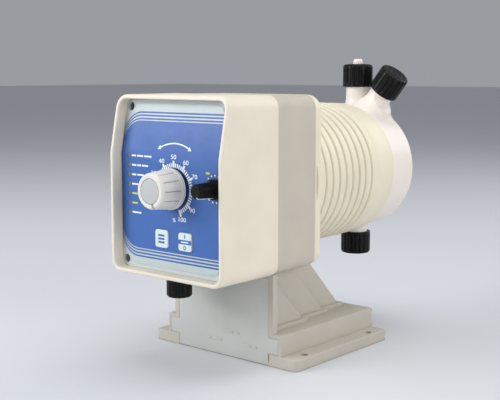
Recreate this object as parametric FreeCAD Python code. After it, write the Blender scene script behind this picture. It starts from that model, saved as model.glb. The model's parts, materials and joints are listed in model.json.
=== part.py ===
"""Solenoid-driven diaphragm dosing pump on a moulded foot.

Millimetres, +Z up. The origin is the middle of the foot's underside, the control panel faces -Y,
and the pump head stands at +Y. The drive axis runs along Y at height AXIS_Z.
"""
import FreeCAD, Part
import math
import os

Vec = FreeCAD.Vector
X_DIR, Y_DIR, Z_DIR = Vec(1, 0, 0), Vec(0, 1, 0), Vec(0, 0, 1)

# ---- driving dimensions --------------------------------------------------------------------------
AXIS_Z = 128.0              # height of the dial, solenoid and head axis
WALL = 3.0                  # general wall of the plastic mouldings
GAP = 0.15                  # clearance between fixed mouldings

BOX_HALF_W = 53.5           # front cover
BOX_LOW, BOX_HIGH = 65.65, 191.15
BOX_CORNER = 9.0
RIM_Y = -116.0              # front rim of the cover
SEAM_Y = -57.5              # joint between front cover and middle housing
MID_INSET = 0.6             # the middle housing stands in from the cover all round
FLANGE_Y = -15.3            # joint between middle housing and motor housing
FLANGE_BACK_Y = -7.3
KINK_Z, RAKE = 150.0, 8.0   # above KINK_Z the rim leans back by RAKE at the top
RECESS = 8.7                # fascia behind the rim
FASCIA_T = 2.5
OVERLAY_T = 0.4

BARREL_R, BARREL_END_Y = 54.4, 90.0
GROOVE_FIRST_Y, GROOVE_PITCH, GROOVE_COUNT = -2.8, 8.43, 8
GROOVE_DEPTH, GROOVE_HALF = 2.4, 1.05
BARREL_BORE_R = 50.5

HEAD_R, HEAD_END_Y = 50.0, 124.5
PORT_Y = 113.5              # plane of the three ports
NECK_R, PORT_BORE_R = 9.6, 6.8
NUT_R, NUT_BORE_R = 12.35, 9.9
FLUTES = 18
DISCHARGE_Z = 194.3         # rim of the discharge nut
SUCTION_Z = 72.0            # rim of the suction nut
NUT_LEN = 18.6
NUT_TOP_T = 3.0
NECK_IN_NUT = 10.5          # neck length inside the nut
SEAL_T, FLANGE_T = 0.7, 2.2
DISCHARGE_FLOOR, SUCTION_FLOOR = 164.0, 63.5          # underside of each valve cartridge
BALL_R, BALL_SEAT = 3.18, 5.05
BLEED_TILT = 38.2           # bleed port from the vertical, leaning to +X
BLEED_Z = 158.3             # where its axis crosses the drive plane
BLEED_RIM, BLEED_END = 41.1, 60.2

FOOT_X, FOOT_Y, FOOT_T = 69.0, 57.25, 8.25
BLOCK_X, BLOCK_TOP = 55.4, 23.2
FRONT_X, FRONT_T = 48.5, 5.2
PLINTH_TOP = 26.0
FOOT_TOP = BOX_LOW + MID_INSET
LEVELS = ((40.0, 13.5), (35.0, 44.7), (30.0, 71.8))   # half-width and y+z of each sloped rear edge
BOLT_X, BOLT_Y, BOLT_R = 63.0, 40.0, 2.75

SCREW_X, SCREW_LOW, SCREW_HIGH = 46.2, 74.0, 182.6    # four cover screws
DIAL_X = 2.0                # dial and stroke screw stand a little off the middle
SELECTOR_X, SELECTOR_Z = 40.4, 130.4
SELECTOR_LEN = 18.0
GLAND_X, GLAND_Y, GLAND_R = -13.0, -88.0, 9.15
KEYS = {"menu_key": (-9.4, 92.3), "power_key": (13.1, 92.2)}
KEY_W, KEY_H = 12.4, 12.6
LED_X, LED_TOP_Z, LED_PITCH, LED_COUNT = -42.3, 148.5, 6.7, 7

CONTROL_BOARD_Y, POWER_BOARD_Y, BOARD_T = -92.0, -40.0, 1.6
SELECTOR_REST, DIAL_REST = 160.0, 164.0     # pointers, clockwise from the top seen from -Y

DIAL_R, DIAL_FRONT_R, DIAL_LEN = 14.2, 12.1, 20.5
DIAL_CLEAR = 2.6            # push travel and a little air behind the dial
SHAFT_R = 3.0
CORE_BORE_R = 12.6          # bore of the coil, in which the armature slides
CAN_R, CAN_BACK_Y, CAN_END_Y = 38.0, -6.0, 72.0       # solenoid


# ---- small builders ------------------------------------------------------------------------------
def box(x0, x1, y0, y1, z0, z1):
    return Part.makeBox(x1 - x0, y1 - y0, z1 - z0, Vec(x0, y0, z0))


def cyl_y(radius, y0, y1, x=0.0, z=AXIS_Z):
    return Part.makeCylinder(radius, y1 - y0, Vec(x, y0, z), Y_DIR)


def cyl_z(radius, z0, z1, x=0.0, y=PORT_Y):
    return Part.makeCylinder(radius, z1 - z0, Vec(x, y, z0), Z_DIR)


def cone_y(r0, r1, y0, y1, x=0.0, z=AXIS_Z):
    return Part.makeCone(r0, r1, y1 - y0, Vec(x, y0, z), Y_DIR)


def tube_y(outer, inner, y0, y1, x=0.0, z=AXIS_Z):
    return cyl_y(outer, y0, y1, x, z).cut(cyl_y(inner, y0 - 1, y1 + 1, x, z))


def revolve_y(points, x=0.0, z=AXIS_Z):
    """Turn a closed outline of (radius, y) points about the Y axis through (x, z)."""
    ring = [Vec(x + r, y, z) for r, y in points]
    face = Part.Face(Part.makePolygon(ring + ring[:1]))
    return face.revolve(Vec(x, 0, z), Y_DIR, 360)


def revolve_z(points, x=0.0, y=PORT_Y):
    """Turn a closed outline of (radius, z) points about the vertical through (x, y)."""
    ring = [Vec(x + r, y, z) for r, z in points]
    face = Part.Face(Part.makePolygon(ring + ring[:1]))
    return face.revolve(Vec(x, y, 0), Z_DIR, 360)


def rounded_box(half_w, z0, z1, radius, y0, y1, x=0.0):
    """Rectangle with round corners in XZ, extruded from y0 to y1."""
    x0, x1 = x - half_w, x + half_w
    c = radius * (1 - math.sqrt(0.5))
    corner = ((x0, z0, 1, 1), (x1, z0, -1, 1), (x1, z1, -1, -1), (x0, z1, 1, -1))
    edges = []
    last = None
    for i, (cx, cz, sx, sz) in enumerate(corner):
        side_a, side_b = Vec(cx, y0, cz + sz * radius), Vec(cx + sx * radius, y0, cz)
        start, end = (side_a, side_b) if i % 2 == 0 else (side_b, side_a)
        if last is not None:
            edges.append(Part.LineSegment(last, start).toShape())
        else:
            first = start
        edges.append(Part.Arc(start, Vec(cx + sx * c, y0, cz + sz * c), end).toShape())
        last = end
    edges.append(Part.LineSegment(last, first).toShape())
    return Part.Face(Part.Wire(edges)).extrude(Vec(0, y1 - y0, 0))


def prism_x(points, half_w):
    """Outline of (y, z) points extruded across x from -half_w to half_w."""
    ring = [Vec(-half_w, y, z) for y, z in points]
    face = Part.Face(Part.makePolygon(ring + ring[:1]))
    return face.extrude(Vec(2 * half_w, 0, 0))


def behind_rim(offset, back_y=SEAM_Y):
    """Everything from the kinked rim line, moved back by offset, to back_y."""
    low, high = BOX_LOW - 20, BOX_HIGH + 20
    lean = RAKE * (high - KINK_Z) / (BOX_HIGH - KINK_Z)
    front = RIM_Y + offset
    outline = [(front, low), (back_y, low), (back_y, high), (front + lean, high), (front, KINK_Z)]
    return prism_x(outline, BOX_HALF_W + 20)


def slab(offset0, offset1):
    """The layer between two offsets behind the kinked rim line."""
    return behind_rim(offset0).cut(behind_rim(offset1))


def fascia_y(z, offset=RECESS):
    """Y of the fascia's front face at height z."""
    lean = max(0.0, RAKE * (z - KINK_Z) / (BOX_HIGH - KINK_Z))
    return RIM_Y + offset + lean


def fuse(shapes):
    shapes = list(shapes)
    return shapes[0].multiFuse(shapes[1:]).removeSplitter()


def helix_spring(radius, wire_r, y0, y1, turns):
    """Coil spring along Y between y0 and y1, its wire twelve-sided."""
    length = y1 - y0 - 2 * wire_r
    path = Part.makeHelix(length / turns, length, radius)
    wire = Part.Wire(path.Edges)
    corners = [math.radians(30 * i) for i in range(12)]
    section = [Vec(radius + wire_r * math.cos(a), 0, wire_r * math.sin(a)) for a in corners]
    coil = wire.makePipeShell([Part.makePolygon(section + section[:1])], True, True)
    coil.rotate(Vec(0, 0, 0), X_DIR, -90)
    coil.translate(Vec(0, y0 + wire_r, AXIS_Z))
    return coil


def cap_screw(head_r, head_h, shank_r, length, point, direction):
    """Screw with its head seated at point, the shank running along direction."""
    unit = Vec(direction)
    unit.normalize()
    head = Part.makeCylinder(head_r, head_h, Vec(point) - unit * head_h, unit)
    socket = Part.makeCylinder(head_r * 0.5, head_h * 0.55, Vec(point) - unit * head_h, unit)
    shank = Part.makeCylinder(shank_r, length, Vec(point), unit)
    return head.fuse(shank).cut(socket)


def cover_screw_places():
    return [(sx * SCREW_X, z) for sx in (-1, 1) for z in (SCREW_LOW, SCREW_HIGH)]


# ---- foot ----------------------------------------------------------------------------------------
def foot_bolt_places():
    return [(sx * BOLT_X, sy * BOLT_Y) for sx in (-1, 1) for sy in (-1, 1)]


def foot_screw_places():
    return [(sx * 22.0, y) for sx in (-1, 1) for y in (-45.0, -24.0)]


def level_outline(limit, low, high=FOOT_TOP, front=-FOOT_Y):
    """Side outline of one level of the pedestal: vertical front, rear edge on y + z = limit."""
    return [(front, low), (limit - low, low), (limit - high, high), (front, high)]


def foot_recess(grow=0.0):
    """T-shaped seat of the front plate."""
    upper = box(-44 - grow, 44 + grow, -FOOT_Y - 1, -FOOT_Y + 2.5 + grow, 0.6 - grow, 63.0 + grow)
    wings = box(-53 - grow, 53 + grow, -FOOT_Y - 1, -FOOT_Y + 2.5 + grow, 9.2 - grow, 20.6 + grow)
    return upper.fuse(wings)


def foot_pedestal():
    flange = box(-FOOT_X, FOOT_X, -FOOT_Y, FOOT_Y, 0, FOOT_T)
    upright = [e for e in flange.Edges if abs(e.tangentAt(0).z) > 0.9]
    flange = flange.makeFillet(3.0, upright)
    block = box(-BLOCK_X, BLOCK_X, -FOOT_Y, FOOT_Y, 0, BLOCK_TOP)
    front_wall = box(-FRONT_X, FRONT_X, -FOOT_Y, -FOOT_Y + FRONT_T, 0, FOOT_TOP)
    solids = [flange, block, front_wall]
    for half_w, limit in LEVELS:
        solids.append(prism_x(level_outline(limit, BLOCK_TOP - 1), half_w))
        plinth_end = min(limit - PLINTH_TOP + 3.0, FOOT_Y - 2)
        solids.append(box(-half_w - 3, half_w + 3, -FOOT_Y, plinth_end, BLOCK_TOP - 1, PLINTH_TOP))
    body = fuse(solids)
    inner_x, inner_limit = LEVELS[2][0] - WALL, LEVELS[2][1] - 4.5
    hollow = prism_x(level_outline(inner_limit, -1, FOOT_TOP - 4.0, -FOOT_Y + 6.5), inner_x)
    skirt = box(-BLOCK_X + WALL, BLOCK_X - WALL, -FOOT_Y + 6.5, FOOT_Y - WALL, -1, BLOCK_TOP - WALL)
    body = body.cut(hollow.common(box(-99, 99, -99, FOOT_Y - WALL, -2, 99))).cut(skirt)
    for x, y in foot_bolt_places():
        body = body.cut(cyl_z(BOLT_R, -1, FOOT_T + 1, x, y))
    for x, y in foot_screw_places():
        body = body.cut(cyl_z(2.2, FOOT_TOP - 5, FOOT_TOP + 1, x, y))
    lever_slot = box(44.1, 44.9, -FOOT_Y - 1, -FOOT_Y + 1.2, 4.0, 9.1)
    return body.cut(foot_recess(GAP)).cut(lever_slot)


def foot_front_plate():
    return foot_recess().common(box(-99, 99, -FOOT_Y, 0, 0, 99))


def foot_screws():
    under = FOOT_TOP - 4.0
    return [cap_screw(3.5, 2.6, 2.0, 10.5, Vec(x, y, under), Z_DIR) for x, y in foot_screw_places()]


# ---- housings ------------------------------------------------------------------------------------
def cover_inner(y0, y1, inset=WALL):
    radius = BOX_CORNER - inset + 0.5
    return rounded_box(BOX_HALF_W - inset, BOX_LOW + inset, BOX_HIGH - inset, radius, y0, y1)


def front_cover():
    outer = rounded_box(BOX_HALF_W, BOX_LOW, BOX_HIGH, BOX_CORNER, RIM_Y - 1, SEAM_Y)
    back_edges = [e for e in outer.Edges if abs(e.BoundBox.YMin - SEAM_Y) < 1e-6]
    outer = outer.makeFillet(1.0, back_edges)
    shell = outer.common(behind_rim(0))
    seat = RECESS + FASCIA_T
    mouth = cover_inner(RIM_Y - 5, SEAM_Y + 1).cut(behind_rim(seat, SEAM_Y + 5))
    ledge = cover_inner(RIM_Y - 5, SEAM_Y + 5, WALL + 3.0)
    room = cover_inner(RIM_Y, SEAM_Y + 5).common(behind_rim(seat + 2.0, SEAM_Y + 5))
    shell = shell.cut(mouth).cut(ledge).cut(room)
    for x, z in cover_screw_places():
        pillar = cyl_y(4.6, RIM_Y, SEAM_Y - 0.4, x, z)
        pillar = pillar.common(behind_rim(seat)).common(cover_inner(RIM_Y, SEAM_Y, WALL - 0.5))
        shell = shell.fuse(pillar).cut(cyl_y(2.05, RIM_Y, SEAM_Y + 5, x, z))
        shell = shell.cut(cyl_y(3.1, RIM_Y, cover_screw_seat(z), x, z))
    shell = shell.cut(cyl_z(6.3, BOX_LOW - 1, BOX_LOW + WALL + 1, GLAND_X, GLAND_Y))
    return shell.removeSplitter()


def mid_half_w():
    return BOX_HALF_W - MID_INSET


def mid_housing():
    low, high = BOX_LOW + MID_INSET, BOX_HIGH - MID_INSET
    outer = rounded_box(mid_half_w(), low, high, BOX_CORNER, SEAM_Y, FLANGE_Y)
    inner = rounded_box(mid_half_w() - WALL, low + 5.5, high - WALL, 6, SEAM_Y - 1, FLANGE_Y + 1)
    shell = outer.cut(inner)
    groove_out = rounded_box(mid_half_w() - 0.9, low + 0.9, high - 0.9, 8.1, SEAM_Y - 1, SEAM_Y + 1.0)
    groove_in = rounded_box(mid_half_w() - 2.1, low + 2.1, high - 2.1, 6.9, SEAM_Y - 2, SEAM_Y + 2)
    shell = shell.cut(groove_out.cut(groove_in))
    room = rounded_box(mid_half_w() - 1, low + 1, high - 1, 8, SEAM_Y + 1.5, FLANGE_Y)
    for x, z in cover_screw_places():
        pillar = cyl_y(5.0, SEAM_Y + 1.5, FLANGE_Y, x, z).common(room)
        shell = shell.fuse(pillar)
        shell = shell.cut(cyl_y(1.7, SEAM_Y - 1, SEAM_Y + 14, x, z))
        shell = shell.cut(cyl_y(1.7, FLANGE_Y - 12, FLANGE_Y + 1, x, z))
    for x, y in foot_screw_places():
        boss = cyl_z(5.0, low + 1, low + 9, x, y)
        shell = shell.fuse(boss).cut(cyl_z(2.0, low - 1, low + 7, x, y))
    for x, z in power_board_posts():
        rib = cyl_y(4.0, POWER_BOARD_Y + BOARD_T, FLANGE_Y, x, z)
        shell = shell.fuse(rib.common(room)).cut(cyl_y(1.25, POWER_BOARD_Y, FLANGE_Y - 2, x, z))
    return shell.removeSplitter()


def housing_gasket():
    low, high = BOX_LOW + MID_INSET, BOX_HIGH - MID_INSET
    outer = rounded_box(mid_half_w() - 1.0, low + 1.0, high - 1.0, 8.0, SEAM_Y, SEAM_Y + 1.0)
    inner = rounded_box(mid_half_w() - 2.0, low + 2.0, high - 2.0, 7.0, SEAM_Y - 1, SEAM_Y + 2)
    return outer.cut(inner)


def cover_screw_seat(z):
    """Cover screws sit deep in their pillars, behind the fascia."""
    return fascia_y(z) + 9.0


def cover_screws():
    screws = []
    for x, z in cover_screw_places():
        seat = cover_screw_seat(z)
        screws.append(cap_screw(2.7, 1.6, 1.7, SEAM_Y + 13 - seat, Vec(x, seat, z), Y_DIR))
    return screws


def motor_housing():
    low, high = BOX_LOW + MID_INSET, BOX_HIGH - MID_INSET
    flange = rounded_box(mid_half_w(), low, high, 12.0, FLANGE_Y, FLANGE_BACK_Y)
    rear = [e for e in flange.Edges if abs(e.BoundBox.YMin - FLANGE_BACK_Y) < 1e-6]
    flange = flange.makeFillet(2.5, rear)
    outline = [(1.0, FLANGE_Y), (BARREL_R - 3.0, FLANGE_Y)]
    outline += [(BARREL_R - 3.0, FLANGE_BACK_Y - 2), (BARREL_R, FLANGE_BACK_Y)]
    for i in range(GROOVE_COUNT):
        y = GROOVE_FIRST_Y + i * GROOVE_PITCH
        outline += [(BARREL_R, y - GROOVE_HALF), (BARREL_R - GROOVE_DEPTH, y - 0.35)]
        outline += [(BARREL_R - GROOVE_DEPTH, y + 0.35), (BARREL_R, y + GROOVE_HALF)]
    step = GROOVE_FIRST_Y + GROOVE_COUNT * GROOVE_PITCH
    outline += [(BARREL_R, step - 1.6), (BARREL_R - 0.7, step), (BARREL_R - 0.4, step + 2)]
    outline += [(BARREL_R - 0.7, BARREL_END_Y - 1.5), (BARREL_R - 2.2, BARREL_END_Y)]
    outline += [(1.0, BARREL_END_Y)]
    barrel = revolve_y(outline)
    body = flange.fuse(barrel)
    body = body.cut(cyl_y(BARREL_BORE_R, FLANGE_Y - 1, BARREL_END_Y - 12))
    body = body.cut(cyl_y(HEAD_R - 9, BARREL_END_Y - 14, BARREL_END_Y + 1))
    for x, z in cover_screw_places():
        body = body.cut(cyl_y(1.9, FLANGE_Y - 1, FLANGE_BACK_Y + 1, x, z))
        body = body.cut(cyl_y(3.6, FLANGE_BACK_Y - 3.2, FLANGE_BACK_Y + 1, x, z))
    for x, z in head_screw_places():
        body = body.cut(cyl_y(2.0, BARREL_END_Y - 11, BARREL_END_Y + 1, x, z))
    return body.removeSplitter()


def housing_screws():
    seat = FLANGE_BACK_Y - 3.2
    return [cap_screw(3.3, 2.8, 1.7, 15.0, Vec(x, seat, z), -Y_DIR) for x, z in cover_screw_places()]


# ---- control panel -------------------------------------------------------------------------------
def panel_holes(grow=0.0):
    """Everything that passes through the fascia and its overlay."""
    front, back = RIM_Y, RIM_Y + RECESS + FASCIA_T + 3
    holes = [cyl_y(6.0 + grow, front, back, DIAL_X), cyl_y(4.6 + grow, front, back, SELECTOR_X, SELECTOR_Z)]
    for x, z in KEYS.values():
        holes.append(box(x - KEY_W / 2 - grow, x + KEY_W / 2 + grow, front, back,
                         z - KEY_H / 2 - grow, z + KEY_H / 2 + grow))
    for z in led_heights():
        holes.append(cyl_y(1.3 + grow, front, back, LED_X, z))
    return holes


def led_heights():
    return [LED_TOP_Z - i * LED_PITCH for i in range(LED_COUNT)]


def fascia_panel():
    plate = cover_inner(RIM_Y - 5, SEAM_Y, WALL + GAP).common(slab(RECESS, RECESS + FASCIA_T))
    for hole in panel_holes(0.2):
        plate = plate.cut(hole)
    for x, z in cover_screw_places():
        plate = plate.cut(cyl_y(3.1, RIM_Y, RIM_Y + 30, x, z))
    for x, z in control_board_posts():
        post = cyl_y(3.2, RIM_Y, CONTROL_BOARD_Y, x, z).common(behind_rim(RECESS + FASCIA_T - 0.5))
        plate = plate.fuse(post).cut(cyl_y(1.2, CONTROL_BOARD_Y - 5.6, CONTROL_BOARD_Y + 1, x, z))
    return plate.removeSplitter()


def panel_overlay():
    sheet = rounded_box(50.0, 71.6, 185.4, 16.0, RIM_Y - 5, SEAM_Y)
    sheet = sheet.common(slab(RECESS - OVERLAY_T, RECESS))
    for hole in panel_holes(0.2):
        sheet = sheet.cut(hole)
    for x, z in cover_screw_places():
        sheet = sheet.cut(cyl_y(3.6, RIM_Y, RIM_Y + 40, x, z))
    return sheet


def key_cap(name):
    """Key with its cap through the panel and a wider foot that keeps it in."""
    x, z = KEYS[name]
    face = fascia_y(z) - 1.5
    cap = rounded_box(KEY_W / 2, z - KEY_H / 2, z + KEY_H / 2, 2.0, face, CONTROL_BOARD_Y - 6.2, x)
    foot = rounded_box(KEY_W / 2 + 1.2, z - KEY_H / 2 - 1.2, z + KEY_H / 2 + 1.2, 2.0,
                       CONTROL_BOARD_Y - 8.2, CONTROL_BOARD_Y - 6.2, x)
    return cap.fuse(foot).removeSplitter()


def control_board_posts():
    return [(sx * 40.0, z) for sx in (-1, 1) for z in (84.0, 168.0)]


def control_board():
    board = box(-46, 46, CONTROL_BOARD_Y, CONTROL_BOARD_Y + BOARD_T, 79, 173)
    board = board.cut(cyl_y(9.5, CONTROL_BOARD_Y - 1, CONTROL_BOARD_Y + 3, DIAL_X))
    for x, z in control_board_posts():
        board = board.cut(cyl_y(1.6, CONTROL_BOARD_Y - 1, CONTROL_BOARD_Y + 3, x, z))
    return board


def board_screws():
    """Screws of the control board, then those of the power board."""
    seat = CONTROL_BOARD_Y + BOARD_T
    front = [cap_screw(2.6, 1.8, 1.2, 7.0, Vec(x, seat, z), -Y_DIR) for x, z in control_board_posts()]
    rear = [cap_screw(2.4, 1.6, 1.2, 8.0, Vec(x, POWER_BOARD_Y, z), Y_DIR) for x, z in power_board_posts()]
    return front + rear


def indicator_leds():
    leds = []
    for z in led_heights():
        lens = cyl_y(1.3, fascia_y(z) - 0.3, CONTROL_BOARD_Y - 3, LED_X, z)
        leds.append(lens.fuse(cyl_y(1.9, CONTROL_BOARD_Y - 5, CONTROL_BOARD_Y, LED_X, z)))
    return leds


def key_switches():
    switches = []
    for x, z in KEYS.values():
        body = box(x - 3, x + 3, CONTROL_BOARD_Y - 3.6, CONTROL_BOARD_Y, z - 3, z + 3)
        switches.append(body.fuse(cyl_y(1.7, CONTROL_BOARD_Y - 5.2, CONTROL_BOARD_Y - 3, x, z)))
    return switches


def selector_switch():
    front = RIM_Y + RECESS + FASCIA_T
    body = box(SELECTOR_X - 7, SELECTOR_X + 7, front + 1.5, CONTROL_BOARD_Y, SELECTOR_Z - 7, SELECTOR_Z + 7)
    bush = cyl_y(4.5, fascia_y(SELECTOR_Z) - 0.8, front + 2, SELECTOR_X, SELECTOR_Z)
    bore = cyl_y(3.05, RIM_Y, CONTROL_BOARD_Y - 3, SELECTOR_X, SELECTOR_Z)
    return body.fuse(bush).cut(bore)


def selector_shaft():
    back, front = CONTROL_BOARD_Y - 3.3, fascia_y(SELECTOR_Z) - 12.0
    return cyl_y(3.0, front, back, SELECTOR_X, SELECTOR_Z)


def selector_knob():
    skirt = fascia_y(SELECTOR_Z) - 1.4
    face = skirt - SELECTOR_LEN
    outline = [(0, face), (4.2, face), (4.9, face + 0.9), (5.6, skirt - 3.2), (6.8, skirt - 2.6),
               (6.8, skirt), (0, skirt)]
    body = revolve_y(outline, SELECTOR_X, SELECTOR_Z)
    for i in range(10):
        angle = math.radians(36 * i + 18)
        x, z = SELECTOR_X + 5.7 * math.cos(angle), SELECTOR_Z + 5.7 * math.sin(angle)
        body = body.cut(cyl_y(0.6, face + 1.5, skirt - 3.4, x, z))
    bore = cyl_y(3.0, fascia_y(SELECTOR_Z) - 12.0, skirt + 1, SELECTOR_X, SELECTOR_Z)
    pointer = pointer_bar(SELECTOR_X, SELECTOR_Z, 0.9, 7.0, face - 1, face + 1.0, SELECTOR_REST)
    return body.cut(bore).cut(pointer)


def pointer_bar(x, z, width, reach, y0, y1, clock_deg):
    """Radial bar from the centre towards clock_deg, clockwise from the top as seen from -Y."""
    bar = box(x - width / 2, x + width / 2, y0, y1, z, z + reach)
    bar.rotate(Vec(x, 0, z), Y_DIR, clock_deg)
    return bar


# ---- stroke adjustment ---------------------------------------------------------------------------
def dial_back():
    return fascia_y(AXIS_Z) - DIAL_CLEAR


def dial_knob():
    back, face = dial_back(), dial_back() - DIAL_LEN
    outline = [(0, face), (DIAL_FRONT_R - 1.2, face), (DIAL_FRONT_R, face + 1.6),
               (DIAL_R - 0.4, back - 3.4), (DIAL_R, back - 3.0), (DIAL_R, back), (0, back)]
    body = revolve_y(outline)
    for i in range(12):
        angle = math.radians(30 * i)
        x, z = DIAL_R * 1.005 * math.cos(angle), AXIS_Z + DIAL_R * 1.005 * math.sin(angle)
        body = body.cut(cyl_y(0.9, face + 2.4, back - 4.0, x, z))
    body = body.cut(cyl_y(9.3, face - 1, face + 1.0))
    body = body.cut(tube_y(DIAL_R - 2.6, 6.2, back - 13, back + 1))
    body = body.cut(cyl_y(SHAFT_R, face + 6, back + 1))
    notch = pointer_bar(0, AXIS_Z, 1.7, 14.0, face - 1, face + 1.2, DIAL_REST)
    return body.cut(notch.cut(cyl_y(9.5, face - 2, face + 3)))


def dial_cap():
    face = dial_back() - DIAL_LEN
    return cyl_y(9.25, face + 0.15, face + 1.0)


def dial_shaft():
    """Round shaft with a hexagonal tail that slides in the drive sleeve."""
    front, tail = dial_back() - DIAL_LEN + 6, -58.0
    shaft = cyl_y(SHAFT_R, front, -78.0)
    return shaft.fuse(hexagon(2.4, -79.0, tail))


def hexagon(radius, y0, y1):
    ring = [Vec(radius * math.cos(math.radians(60 * i)), y0, AXIS_Z + radius * math.sin(math.radians(60 * i)))
            for i in range(6)]
    return Part.Face(Part.makePolygon(ring + ring[:1])).extrude(Vec(0, y1 - y0, 0))


def dial_bush():
    """Bush snapped in the fascia; the collar slides in it and the spring rests on its back lip."""
    back = RIM_Y + RECESS + FASCIA_T
    sleeve = tube_y(6.0, 4.6, back - FASCIA_T - 0.2, back + 9)
    lip = tube_y(6.0, 3.4, back + 9, back + 10.5)
    return fuse([sleeve, tube_y(8.2, 4.6, back, back + 2), lip])


def dial_collar():
    """Collar that carries the shaft and is pushed in with the dial."""
    front = dial_back() + 0.2
    return tube_y(4.5, SHAFT_R + 0.05, front, front + 9).cut(tube_y(5, 3.7, front + 3.5, front + 10))


def dial_spring():
    front = dial_back() + 0.2 + 3.6
    lip = RIM_Y + RECESS + FASCIA_T + 9
    return helix_spring(4.15, 0.3, front, lip - 0.05, 5)


def drive_sleeve():
    socket_wall = cyl_y(5.0, -72.0, -30.0)
    screw = cyl_y(2.95, -31.0, -12.0)
    collar = cyl_y(6.6, -43.8, -42.0)
    return fuse([socket_wall, screw, collar]).cut(hexagon(2.48, -73.0, -50.0))


def stroke_guide():
    """Guide screwed to the solenoid: round journal in front, square bore behind."""
    body = fuse([cyl_y(11.5, -48.0, -6.0), cyl_y(18.0, -9.0, -6.0)])
    square = box(-7.2, 7.2, -44.0, -5.0, AXIS_Z - 7.2, AXIS_Z + 7.2)
    return body.cut(cyl_y(5.05, -49.0, -43.0)).cut(square)


def stroke_stop():
    """Square nut that the drive sleeve's thread moves along the guide."""
    nut = box(-7.0, 7.0, -28.0, -8.0, AXIS_Z - 7.0, AXIS_Z + 7.0)
    return nut.cut(cyl_y(3.0, -29.0, -10.0))


# ---- boards and cable entry ----------------------------------------------------------------------
def power_board_posts():
    return [(sx * 47.0, z) for sx in (-1, 1) for z in (100.0, 156.0)]


def power_board():
    board = box(-49, 49, POWER_BOARD_Y, POWER_BOARD_Y + BOARD_T, 90, 166)
    board = board.cut(cyl_y(14.0, POWER_BOARD_Y - 1, POWER_BOARD_Y + 3))
    for x, z in power_board_posts():
        board = board.cut(cyl_y(1.25, POWER_BOARD_Y - 1, POWER_BOARD_Y + 3, x, z))
    return board


def terminal_block():
    block = box(-30, 6, POWER_BOARD_Y - 12, POWER_BOARD_Y, 92, 102)
    for i in range(6):
        block = block.cut(cyl_y(1.9, POWER_BOARD_Y - 13, POWER_BOARD_Y - 9, -27 + 6 * i, 98.5))
    return block


def gland_body():
    """Threaded body through the cover floor with its collar outside."""
    stem = cyl_z(6.0, BOX_LOW - 12.0, BOX_LOW + WALL + 7.0, GLAND_X, GLAND_Y)
    collar = cyl_z(8.6, BOX_LOW - 3.5, BOX_LOW, GLAND_X, GLAND_Y)
    return stem.fuse(collar).cut(cyl_z(3.9, 0, BOX_LOW + 20, GLAND_X, GLAND_Y)).removeSplitter()


def gland_lock_nut():
    ring = [Vec(GLAND_X + 9.4 * math.cos(math.radians(60 * i + 30)),
                GLAND_Y + 9.4 * math.sin(math.radians(60 * i + 30)), BOX_LOW + WALL) for i in range(6)]
    nut = Part.Face(Part.makePolygon(ring + ring[:1])).extrude(Vec(0, 0, 4.0))
    return nut.cut(cyl_z(6.05, 0, BOX_LOW + 20, GLAND_X, GLAND_Y))


def gland_cap():
    """Fluted compression cap of the gland."""
    top, low = BOX_LOW - 3.7, BOX_LOW - 18.2
    outline = [(4.9, low), (GLAND_R - 2.2, low), (GLAND_R, low + 2.2), (GLAND_R, top), (6.2, top),
               (6.2, low + 4.0), (4.9, low + 4.0)]
    body = revolve_z(outline, GLAND_X, GLAND_Y)
    for i in range(12):
        angle = math.radians(30 * i)
        x, y = GLAND_X + (GLAND_R + 0.35) * math.cos(angle), GLAND_Y + (GLAND_R + 0.35) * math.sin(angle)
        body = body.cut(cyl_z(0.8, low - 1, top - 2.0, x, y))
    return body


def gland_seal():
    outline = [(3.0, BOX_LOW - 14.0), (5.8, BOX_LOW - 14.0), (5.8, BOX_LOW - 12.2), (3.8, BOX_LOW - 12.2),
               (3.8, BOX_LOW - 3.0), (3.0, BOX_LOW - 3.0)]
    return revolve_z(outline, GLAND_X, GLAND_Y)


# ---- solenoid ------------------------------------------------------------------------------------
def solenoid_can():
    can = cyl_y(CAN_R, CAN_BACK_Y, CAN_END_Y).cut(cyl_y(CAN_R - 4.0, CAN_BACK_Y - 1, CAN_END_Y - 5))
    return can.cut(cyl_y(CORE_BORE_R, 0, CAN_END_Y + 1))


def solenoid_back_plate():
    plate = cyl_y(CAN_R - 4.05, CAN_BACK_Y, CAN_BACK_Y + 5)
    return plate.cut(cyl_y(CORE_BORE_R, CAN_BACK_Y - 1, CAN_BACK_Y + 6))


def coil_bobbin():
    front, back = CAN_BACK_Y + 5, CAN_END_Y - 5
    cheeks = [cyl_y(33.6, y, y + 2) for y in (front, back - 2)]
    return fuse([cyl_y(15.0, front, back)] + cheeks).cut(cyl_y(CORE_BORE_R, front - 1, back + 1))


def coil_winding():
    front, back = CAN_BACK_Y + 7.1, CAN_END_Y - 7.1
    return tube_y(32.0, 15.05, front, back)


def pole_piece():
    pole = cyl_y(CORE_BORE_R, 46.0, CAN_END_Y).fuse(cyl_y(22.0, CAN_END_Y, CAN_END_Y + 4))
    return pole.cut(cyl_y(4.2, 40, 80)).cut(cyl_y(8.0, 45, 56)).removeSplitter()


def armature():
    core = cyl_y(CORE_BORE_R - 0.08, -4.0, 43.6).fuse(cyl_y(4.8, -6.4, -4.0))
    return core.cut(cyl_y(4.0, 30.0, 44.0)).cut(cyl_y(8.0, 34.0, 44.0))


def push_rod():
    return cyl_y(4.0, 30.0, 82.0).fuse(cyl_y(2.5, 82.0, 87.6)).removeSplitter()


def return_spring():
    return helix_spring(6.4, 0.9, 34.1, 55.9, 5)


def solenoid_mount():
    """Ring that centres the solenoid in the barrel and backs the diaphragm chamber."""
    web = tube_y(BARREL_BORE_R - GAP, 22.2, CAN_END_Y, CAN_END_Y + 6)
    return web.cut(cyl_y(22.2, CAN_END_Y - 1, CAN_END_Y + 5))


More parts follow.
